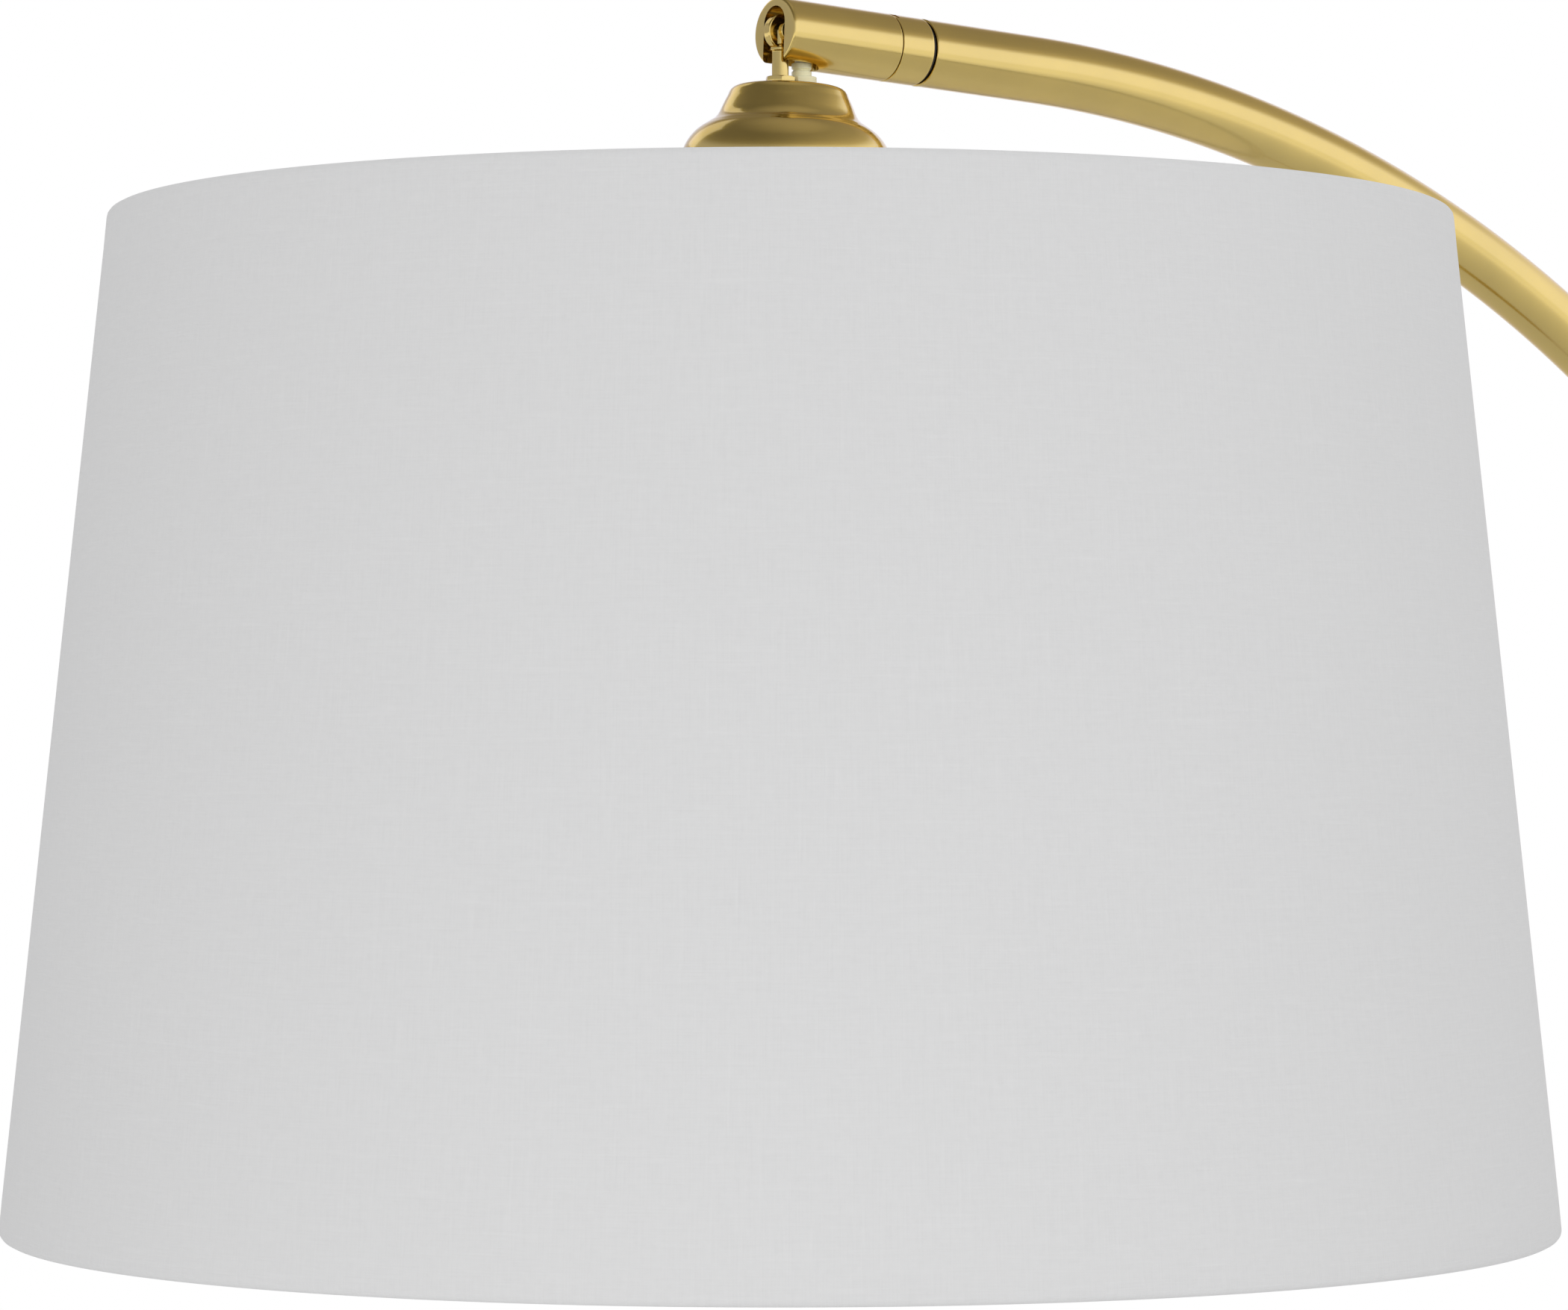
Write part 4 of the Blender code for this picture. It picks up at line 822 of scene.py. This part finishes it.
def cap():
    leaning = ON_RIM @ Matrix.Translation((CAP_FOOT, 0, 0)) @ rotated(CAP_LEAN, "Y")
    outside = [(0, CAP_TOP), (0.0088, CAP_TOP), (0.0120, 0.03865), (0.0140, 0.0384)]
    outside += arc((0.0145, 0.0352), 0.0031, 78, 24, 8)
    outside += smooth_curve([(0.0178, 0.0353), (0.0186, 0.0337), (0.01935, 0.0320), (0.0200, 0.0305),
                             (0.02075, 0.0293), (0.0219, 0.0282), (0.0233, 0.0273), (0.0244, 0.02655)], 3)
    outside += arc((0.0172, 0.0148), 0.0138, 57, 0, 18)
    outside += [(CAP_R, 0.0040), (CAP_R, CAP_LIP + 0.0003), (CAP_R - 0.0002, CAP_LIP)]
    inside = offset(outside[1:], -CAP_WALL)
    inside[-1] = (CAP_R - CAP_WALL, CAP_LIP)
    inside = [(0, CAP_TOP - CAP_WALL)] + inside
    mesh = revolved("socket_bell", plain(outside + inside[::-1]), leaning, 128)
    holes = [rod("hole", radius, 0.0340, 0.0410, ON_RIM @ Matrix.Translation((x, 0, 0)))
             for radius, x in ((STEM_HOLE_R, 0), (BUSH_R + GAP, BUSH_X))]
    piece("socket_bell", cut(mesh, holes, 30), BRASS, "head", "socket_cap")


def nut(name, material, node, low, high, chamfer):
    """A hex nut on the stem, its upper corners turned off and its edges eased."""
    corner_r = NUT_HALF_FLATS / math.cos(math.pi / 6)
    corners = [(corner_r * math.cos(a), corner_r * math.sin(a)) for a in (math.pi / 3 * i for i in range(6))]
    block = extruded(name, corners, high - low, ON_RIM @ raised((low + high) / 2))
    crest = high + 0.00002
    dome = [(0, low - 0.001), (corner_r + 0.001, low - 0.001), (corner_r + 0.001, high - chamfer - 0.0006),
            (NUT_HALF_FLATS, crest), (0, crest)]
    block = combined(block, [revolved("dome", plain(dome), ON_RIM, 96)], "INTERSECT")
    block = combined(block, [rod("hole", STEM_HOLE_R, low - 0.002, high + 0.002, ON_RIM)], "DIFFERENCE")
    piece(name, bevelled(block, 0.00012), material, "head", node)


def nuts():
    nut("hanger_nut", BRASS_PLAIN, "stem_nut", SEAT_Z, SEAT_Z + 0.0018, 0.0003)
    low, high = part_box("stem_lock_nut")
    nut("hanger_lock_nut", STEEL_PLAIN, "stem_lock_nut", low.z - RIM_Z, high.z - RIM_Z, 0.0004)


def bush():
    """The cream bush for the lead: a waisted neck on a flange, trimmed flat beside the nut."""
    at = ON_RIM @ Matrix.Translation((BUSH_X, 0, SEAT_Z))
    outline = rounded([
        (BUSH_BORE_R, BUSH_HEIGHT, 0.0005),
        (BUSH_R, BUSH_HEIGHT, 0.0006),
        (BUSH_R, 0.0046, 0.0004),
        (BUSH_WAIST_R, 0.0043, 0.0003),
        (BUSH_WAIST_R, 0.0040, 0.0003),
        (BUSH_R, 0.0037, 0.0004),
        (BUSH_R, BUSH_FLANGE, 0.0004),
        (BUSH_FLANGE_R, BUSH_FLANGE, 0.0005),
        (BUSH_FLANGE_R, 0, 0.0002),
        (BUSH_R, 0, 0.0001),
        (BUSH_R, -0.0041, 0.0004),
        (BUSH_BORE_R, -0.0041, 0.0002),
    ], True, 0.0002)
    mesh = revolved("lead_bush", outline, at, 64)
    flat = BUSH_X - NUT_HALF_FLATS - GAP
    middle = at @ raised(BUSH_FLANGE)
    block = extruded("trim", rectangle(-flat, -flat - 0.008, 0.008), 2 * BUSH_FLANGE, middle)
    piece("lead_bush", cut(mesh, [block]), CREAM, "head", "cable_bush")


def hanger():
    """The stem with its groove and bead, and the eye that the pivot screw goes through."""
    drop = Matrix.Translation(PIVOT)
    end = RIM_Z + STEM_END - PIVOT.z
    outline = rounded([
        (0, 0.0006),
        (STEM_R - 0.0003, 0.0006, 0.0002),
        (STEM_R, 0.0003, 0.0002),
        (STEM_R, BEAD_Z + 0.0010, 0.0002),
        (STEM_GROOVE_R, BEAD_Z + 0.0006, 0.0002),
        (STEM_GROOVE_R, BEAD_Z + 0.0003, 0.0002),
        (BEAD_R, BEAD_Z + 0.0001, 0.0003),
        (BEAD_R, BEAD_Z - 0.0007, 0.0003),
        (STEM_R, BEAD_Z - 0.0011, 0.0003),
        (STEM_R, end, 0.0003),
        (0, end),
    ], False, 0.0002)
    mesh = revolved("hanger_rod", outline, drop, 48)
    side = drop @ rotated(90, "X")
    half = EYE_THICKNESS / 2
    eye = rounded([(0, half), (EYE_R, half, 0.0005), (EYE_R, -half, 0.0005), (0, -half)], False)
    mesh = combined(mesh, [revolved("eye", eye, side, 96)], "UNION")
    mesh = cut(mesh, [rod("hole", PIN_HOLE_R, -0.006, 0.006, side)])
    piece("hanger_rod", mesh, BRASS, "head", "hanger")


# ---- knuckle


def barrel():
    """The slotted barrel: a bore for the plug's spigot and its ring, a round slot, and the pin's hole."""
    outline = rounded([(0, BARREL_SEAM), (TUBE_R, BARREL_SEAM, 0.0004), (TUBE_R, BARREL_TIP, 0.0011),
                       (0, BARREL_TIP)], False, 0.0004, 6)
    body = revolved("knuckle_body", outline, ALONG_ARM, 128)
    beyond = BARREL_SEAM + 0.002
    bore = plain([(0, beyond), (SPIGOT_BORE_R, beyond), (SPIGOT_BORE_R, CHAMBER_END),
                  (CHAMBER_R, CHAMBER_END), (CHAMBER_R, SLOT_REACH), (SLOT_HALF, SLOT_REACH),
                  (SLOT_HALF, 0.0090), (0, 0.0090)])
    drop = SLOT_CROWN + 1.3 * TUBE_R
    middle = SLOT_END - SLOT_HALF
    mouth = [(BARREL_TIP - 0.002, SLOT_HALF), (BARREL_TIP - 0.002, -SLOT_HALF)]
    mouth += [(middle + SLOT_HALF * math.sin(a), -SLOT_HALF * math.cos(a))
              for a in (math.pi * i / 24 for i in range(25))]
    down = Matrix.Translation((drop / 2 - SLOT_CROWN, 0, 0)) @ rotated(-90, "Y")
    crown = ALONG_ARM @ Matrix.Translation((-SLOT_CROWN, 0, 0))
    tools = [
        revolved("bore", bore, ALONG_ARM, 64),
        extruded("mouth", mouth, drop, ALONG_ARM @ down),
        rod("crown", SLOT_HALF, BARREL_TIP - 0.002, SLOT_END - 0.002, crown, 64),
        rod("pin_hole", PIN_HOLE_R, -(SLOT_HALF + PIN_BLIND), TUBE_R + 0.002, ACROSS_ARM, 32),
    ]
    body = bevelled(combined(body, tools, "DIFFERENCE"), 0.00025, 3, 50)
    piece("knuckle_body", body, BRASS, "knuckle", "knuckle_barrel")


def collar():
    """The collar behind the barrel with the key at its seam, and the dark washer behind it."""
    outline = rounded([(SPIGOT_BORE_R, COLLAR_END), (TUBE_R, COLLAR_END, 0.0006),
                       (TUBE_R, COLLAR_START, 0.0003), (SPIGOT_BORE_R, COLLAR_START)], True, 0.0003, 5)
    ring = revolved("collar_ring", outline, ALONG_ARM, 128)
    at = ALONG_ARM @ raised(BARREL_SEAM + 0.0002) @ rotated(KEY_ANGLE, "Z")
    keyway = extruded("keyway", rectangle(KEY_LOW - GAP, TUBE_R + 0.001, KEY_HALF + GAP), 0.0030, at)
    piece("collar_ring", cut(ring, [keyway]), BRASS, "knuckle", "swivel_collar")
    key = bevelled(extruded("knuckle_key", rectangle(KEY_LOW, KEY_HIGH, KEY_HALF), 0.0024, at), 0.0001)
    piece("knuckle_key", key, BRASS_PLAIN, "knuckle")
    outline = rounded([(WASHER_R, WASHER_START), (WASHER_R, WASHER_END), (SPIGOT_BORE_R, WASHER_END),
                       (SPIGOT_BORE_R, WASHER_START)], True, 0.0001, 2)
    turned_piece("thrust_washer", outline, ALONG_ARM, 96, NYLON, "stand", "swivel_washer")


def pivot():
    """The pivot screw across the slot, and the washers on both sides of the eye."""
    low = GAP - (SLOT_HALF + PIN_BLIND)
    high = math.sqrt(TUBE_R**2 - PIN_R**2) - 0.0004
    outline = rounded([(0, high), (PIN_R, high, 0.0002), (PIN_R, low, 0.0003), (0, low)], False)
    screw = revolved("pivot_screw", outline, ACROSS_ARM, 48)
    driver = extruded("driver", rectangle(-0.0003, 0.0003, 0.002), 0.0010, ACROSS_ARM @ raised(high))
    piece("pivot_screw", cut(screw, [driver]), STEEL_PLAIN, "knuckle", "pivot_pin")
    inner, outer = STEM_R + GAP, SLOT_HALF - 2 * GAP
    outline = rounded([(PIN_HOLE_R, inner), (SPACER_R, inner), (SPACER_R, outer), (PIN_HOLE_R, outer)],
                      True, 0.0002, 3)
    for side, turn in (("far", -90), ("near", 90)):
        axis = ALONG_ARM @ rotated(turn, "X")
        turned_piece(f"eye_washer_{side}", outline, axis, 48, BRASS, "knuckle", f"eye_spacer_{side}")


# ---- arm, pole and base


def arm():
    start = ARM_END
    end = ARM_STRAIGHT + ARM_CURVED + ARM_FOOT
    mouth = rounded([(TUBE_BORE_R, start + ARM_MOUTH, 0), (TUBE_BORE_R, start, 0.0002),
                     (TUBE_R, start, 0.0004), (TUBE_R, start + 0.001, 0)], True, 0.0002, 3)
    mouth = [point for point in mouth if point[1] < start + 0.0009 or point[0] < TUBE_R - 1e-6]
    steps = 150
    outside = [(TUBE_R, start + 0.001 + (end - start - 0.002) * i / steps, 0.0) for i in range(steps + 1)]
    tail = [(TUBE_R, end - 0.0005, 0.0), (TUBE_R - 0.0001, end - 0.0001, 1.0), (TUBE_R - 0.0004, end, 0.6),
            (TUBE_BORE_R, end, 0.0)]
    inside = [(TUBE_BORE_R, end - (end - start - ARM_MOUTH) * i / steps, 0.0) for i in range(1, steps + 1)]
    turned_piece("arm_tube", mouth + outside + tail + inside, arm_place, 64, BRASS, "stand", "arc_tube")


def pole():
    """The three straight tubes, and the rings between them with a plug below and a stud above."""
    for node in ("pole_lower", "pole_middle", "pole_upper"):
        low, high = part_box(node)
        outline = rounded([(TUBE_R, high.z, 0.0004), (TUBE_R, low.z, 0.0004), (TUBE_BORE_R, low.z, 0.0002),
                           (TUBE_BORE_R, high.z, 0.0002)])
        turned_piece(f"{node}_tube", outline, UPRIGHT, 64, BRASS, "stand", node)
    for number in (1, 2, 3):
        node = f"pole_joint_{number}"
        low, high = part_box(node)
        ring_top = high.z - STUD_LENGTH
        ring_low = ring_top - JOINT_RING
        outline = rounded([
            (LEAD_WAY_R, high.z),
            (STUD_R, high.z, 0.0005),
            (STUD_R, ring_top, 0.0001),
            (TUBE_R, ring_top, 0.0005),
            (TUBE_R, ring_low, 0.0005),
            (JOINT_PLUG_R, ring_low, 0.0001),
            (JOINT_PLUG_R, low.z, 0.0005),
            (LEAD_WAY_R, low.z),
        ])
        turned_piece(f"pole_ring_{number}", outline, UPRIGHT, 64, BRASS, "stand", node)


def base():
    """The cover with the lead's inlet, the grommet in it, the grooved pad and the pole's flange."""
    corner = (BASE_R - BASE_CORNER_R, BASE_HEIGHT - BASE_CORNER_R)
    outside = [(BASE_HOLE_R, BASE_HEIGHT), (corner[0] - 0.002, BASE_HEIGHT)]
    outside += arc(corner, BASE_CORNER_R, 90, 0, 16)
    outside += [(BASE_R, 0.0020), (BASE_R - 0.0002, COVER_LIFT + 0.0001), (BASE_R - 0.0006, COVER_LIFT)]
    inside = [(BASE_HOLE_R, BASE_HEIGHT - COVER_WALL)] + arc(corner, BASE_CORNER_R - COVER_WALL, 90, 0, 12)
    inside.append((BASE_R - COVER_WALL, COVER_LIFT))
    mesh = revolved("base_shell", plain(outside + inside[::-1]), UPRIGHT, 192)
    inlet = Matrix.Translation((BASE_R, 0, INLET_Z)) @ rotated(90, "Y")
    mesh = cut(mesh, [rod("hole", INLET_R + GAP, -0.006, 0.006, inlet)], 30)
    piece("base_shell", mesh, BRASS, "stand", "base_cover")

    grommet = rounded([(INLET_BORE_R, 0.0018, 0.0004), (0.0055, 0.0018, 0.0006), (0.0060, 0.0003, 0.0001),
                       (INLET_R, 0.0003), (INLET_R, -0.0032, 0.0005), (INLET_BORE_R, -0.0032, 0.0003)])
    turned_piece("inlet_grommet", grommet, inlet, 48, RUBBER, "stand", "cord_inlet_grommet")

    pad_r = BASE_R - PAD_INSET
    pad = [(0, PAD_THICKNESS), (pad_r, PAD_THICKNESS, 0.0004), (pad_r, 0, 0.0008)]
    for groove_r in (0.120, 0.105, 0.090, 0.075, 0.060, 0.045, 0.030):
        pad += [(groove_r + 0.0012, 0, 0.0002), (groove_r + 0.0008, 0.0006, 0.0002),
                (groove_r - 0.0008, 0.0006, 0.0002), (groove_r - 0.0012, 0, 0.0002)]
    pad.append((0, 0))
    pad = rounded(pad, False, 0.0002, 2)
    turned_piece("foot_pad", pad, UPRIGHT, 128, RUBBER, "stand", "base_pad")

    low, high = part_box("pole_flange")
    rise = high.z - low.z
    bore = TUBE_R + GAP
    flange = rounded([
        (bore, high.z, 0.0002),
        (FLANGE_NECK_R, high.z, 0.0007),
        (FLANGE_NECK_R, low.z + 0.70 * rise, 0.0030),
        (0.0155, low.z + 0.35 * rise, 0.0040),
        (FLANGE_R, low.z + 0.0020, 0.0006),
        (FLANGE_R, low.z, 0.0003),
        (bore, low.z, 0.0002),
    ], True, 0.0003, 8)
    turned_piece("foot_flange", flange, UPRIGHT, 128, BRASS, "stand", "pole_flange")


# ---- kept CAD nodes and the lead

KEPT_NODES = (
    (STEEL_PLAIN, ("arm_end_plug", "retaining_ring", "pole_insert_1", "pole_insert_2", "pole_insert_3",
                   "pole_insert_4", "pole_nipple", "base_nut", "base_washer", "socket_bracket",
                   "bracket_screw_1", "bracket_screw_2", "switch_shaft")),
    (CONTACT_PLAIN, ("screw_shell", "centre_contact")),
    (LEAD_PLAIN, ("lead_in_stand",)),
    (IRON, ("base_weight",)),
)


def kept_nodes():
    for material, nodes in KEPT_NODES:
        for node in nodes:
            mesh = frame["nodes"][node].data
            mesh.materials.clear()
            mesh.materials.append(material)


def lead_route():
    """Points on the lead's middle line: along the barrel, round through the bush and down to the socket."""
    def on_arm(along, down):
        return ALONG_ARM @ Vector((down, 0, along))

    bend = 0.0080
    points = [on_arm(0.0230, 0), on_arm(0.0195, -0.0014)]
    points += [on_arm(BUSH_X + bend * (1 - math.cos(a)), -0.0020 + bend * (1 - math.sin(a)))
               for a in (math.pi / 2 * (1 - i / 10) for i in range(11))]
    low = RIM_Z + 0.0322
    points += [Vector((LEAD_X, 0, z)) for z in (BUSH_TOP + 0.0006, BUSH_TOP - 0.004, low)]
    for i in range(1, 9):
        share = i / 8
        ease = share * share * (3 - 2 * share)
        points.append(Vector((LEAD_X + (SOCKET_X - BUSH_X) * ease, 0, low - 0.0152 * share)))
    return points


def lead():
    points = lead_route()
    run = [0.0]
    for a, b in zip(points, points[1:]):
        run.append(run[-1] + (b - a).length)

    def place(s):
        k = max(i for i in range(len(run) - 1) if run[i] <= s or i == 0)
        t = (s - run[k]) / (run[k + 1] - run[k])
        point = points[k].lerp(points[k + 1], t)
        ahead = points[min(k + 2, len(points) - 1)] - points[k]
        behind = points[k + 1] - points[max(k - 1, 0)]
        along = (behind.normalized() * (1 - t) + ahead.normalized() * t).normalized()
        return point, Vector((along.z, 0, -along.x)), Vector((0, 1, 0))

    count = 90
    outline = [(0, 0, 0)] + [(LEAD_R, run[-1] * i / count, 0.0) for i in range(count + 1)] + [(0, run[-1], 0)]
    mesh = revolved("lead_run", outline, place, 24)
    cable = piece("lead_run", mesh, LEAD_SKIN, None, "lead_in_knuckle", "lead_in_head")
    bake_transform(cable)


# ---- studio

CAMERA_TURN = math.radians(36)  # the camera looks this far round from +Y towards +X
FORWARD = Vector((math.sin(CAMERA_TURN), math.cos(CAMERA_TURN), 0))
CAMERA_DISTANCE = 1.5904  # from the shade's axis
CAMERA_BELOW = 0.20639  # below the pivot
SENSOR = 36.0  # millimetres, as is the lens
LENS = 125.537
SHIFT = (0.00238, 0.05519)  # of the frame's width: the horizon is a little below the middle


def camera():
    data = bpy.data.cameras.new("camera")
    data.sensor_width = SENSOR
    data.lens = LENS
    data.shift_x, data.shift_y = SHIFT
    data.clip_start, data.clip_end = 0.05, 200
    made = linked("camera", data)
    made.location = Vector((PIVOT.x, 0, PIVOT.z - CAMERA_BELOW)) - CAMERA_DISTANCE * FORWARD
    made.rotation_euler = FORWARD.to_track_quat("-Z", "Y").to_euler()
    bpy.context.scene.camera = made


WHITE = (1, 1, 1, 1)
PLAIN_LEVEL = 0.84
BRIGHTEST = 1.40  # the ramps hold shares of this
DAYLIGHT = (0.99, 1.0, 1.12)
WARM = (1.0, 0.92, 0.78)
PLAIN = (1.0, 1.0, 1.0)
BY_HEIGHT = ((0.0, 1.0, DAYLIGHT), (0.44, 1.0, DAYLIGHT), (0.56, 0.47, WARM), (0.70, 0.34, WARM),
             (0.86, 0.31, WARM), (1.0, 0.52, WARM))  # direction's Z, level, tint
BY_SIDE = ((0.0, 0.45, PLAIN), (0.35, 0.50, PLAIN), (0.62, 0.80, PLAIN), (0.80, 1.0, PLAIN),
           (0.97, 1.12, PLAIN))  # share of the way from far left to far right, level, tint


def world():
    """Plain light on the object, white behind it, and in metal a studio that dims to the left and above."""
    studio = bpy.data.worlds.new("studio")
    bpy.context.scene.world = studio
    made = Graph(studio)
    where = made.node("TexCoord", {}).outputs["Generated"]

    def along(direction):
        return made.node("VectorMath", {0: where, 1: direction}, operation="DOT_PRODUCT").outputs["Value"]

    def levels(value, stops):
        shares = [(position, [level * c / BRIGHTEST for c in tint]) for position, level, tint in stops]
        return made.ramp(value, shares)

    plain_light = made.nodes["Background"]
    plain_light.inputs["Strength"].default_value = PLAIN_LEVEL
    plain_light.inputs["Color"].default_value = WHITE
    right = (math.cos(CAMERA_TURN), -math.sin(CAMERA_TURN), 0.0)
    behind = made.math("MAXIMUM", along(FORWARD), 0.0)
    side = made.math("ADD", along(right), made.math("MULTIPLY", behind, 0.6))
    side = made.math("MULTIPLY", made.math("ADD", side, 1.0), 0.5)
    level = made.math("MULTIPLY", levels(side, BY_SIDE), BRIGHTEST * BRIGHTEST)
    tint = levels(along((0.0, 0.0, 1.0)), BY_HEIGHT)
    reflected = made.node("Background", {"Color": tint, "Strength": level})
    backdrop = made.node("Background", {"Color": WHITE})
    in_metal = made.rays("Is Glossy Ray", "Is Transmission Ray")
    result = made.mix_shaders(in_metal, plain_light.outputs[0], reflected.outputs[0])
    result = made.mix_shaders(made.rays("Is Camera Ray"), result, backdrop.outputs[0])
    made.links.new(result, made.nodes["World Output"].inputs["Surface"])


FLOOR_RADIUS = 60.0
FLOOR_Z = -0.0002
WHITE_FROM, WHITE_BY = 0.5, 7.0  # distances from the pole between which the floor turns white
FLOOR_COLOUR = (0.87, 0.87, 0.87)
FLOOR_IN_METAL = 0.66  # how much of its colour the floor shows in metal


def floor():
    """A pale floor that fades into the white background far from the lamp."""
    mesh = bpy.data.meshes.new("floor")
    build = bmesh.new()
    bmesh.ops.create_circle(build, cap_ends=True, radius=FLOOR_RADIUS, segments=96)
    build.to_mesh(mesh)
    build.free()
    obj = linked("floor", mesh)
    obj.location.z = FLOOR_Z
    made = Recipe("floor", "object")
    texture = made.noise((30.0,) * 3, 3.0)
    tone = made.toned(texture, shade_of(FLOOR_COLOUR, 0.995), shade_of(FLOOR_COLOUR, 1.005))
    made.set(Base_Color=made.mix(made.rays("Is Glossy Ray"), tone, shade_of(FLOOR_COLOUR, FLOOR_IN_METAL)))
    made.set(Roughness=0.8, Specular_IOR_Level=0.1)
    distance = made.node("VectorMath", {0: made.where}, operation="LENGTH").outputs["Value"]
    far = made.spread(distance, 0.0, 1.0, WHITE_FROM, WHITE_BY)
    white = made.node("Emission", {})
    shown = made.rays("Is Camera Ray", "Is Glossy Ray", "Is Transmission Ray")
    result = made.mix_shaders(made.math("MULTIPLY", far, shown), made.shader.outputs[0], white.outputs[0])
    made.links.new(result, made.nodes["Material Output"].inputs["Surface"])
    mesh.materials.append(made.material)


def softbox(name, lights, azimuth, elevation, distance, width, height, radiance):
    """A rectangular lamp that looks at the head and acts on "diffuse" or "glossy" surfaces.

    Azimuth is measured from the camera's side, to the right.
    """
    target = Vector((PIVOT.x, 0, RIM_Z))
    turn = math.radians(azimuth) - CAMERA_TURN
    rise = math.radians(elevation)
    away = Vector((math.sin(turn) * math.cos(rise), -math.cos(turn) * math.cos(rise), math.sin(rise)))
    data = bpy.data.lights.new(name, "AREA")
    data.shape = "RECTANGLE"
    data.size, data.size_y = width, height
    data.energy = radiance * math.pi * width * height
    made = linked(name, data)
    made.location = target + distance * away
    made.rotation_euler = (-away).to_track_quat("-Z", "Y").to_euler()
    made.visible_camera = False
    made.visible_diffuse = lights == "diffuse"
    made.visible_glossy = lights == "glossy"


def lamps():
    softbox("front", "diffuse", -4, 18, 3.0, 2.0, 1.2, 1.3)
    softbox("low_left", "diffuse", -12, -38, 1.35, 0.8, 0.6, 1.3)
    softbox("right", "diffuse", 74, 20, 3.2, 2.2, 1.0, 1.35)
    softbox("rim_left", "glossy", -140, 34, 3.0, 1.3, 1.7, 0.6)


shade()
spider()
socket()
bulb()
switch()
cap()
nuts()
bush()
hanger()
barrel()
collar()
arm()
pole()
base()
pivot()
kept_nodes()
lead()
camera()
world()
floor()
lamps()
bpy.context.scene.view_settings.view_transform = "Standard"
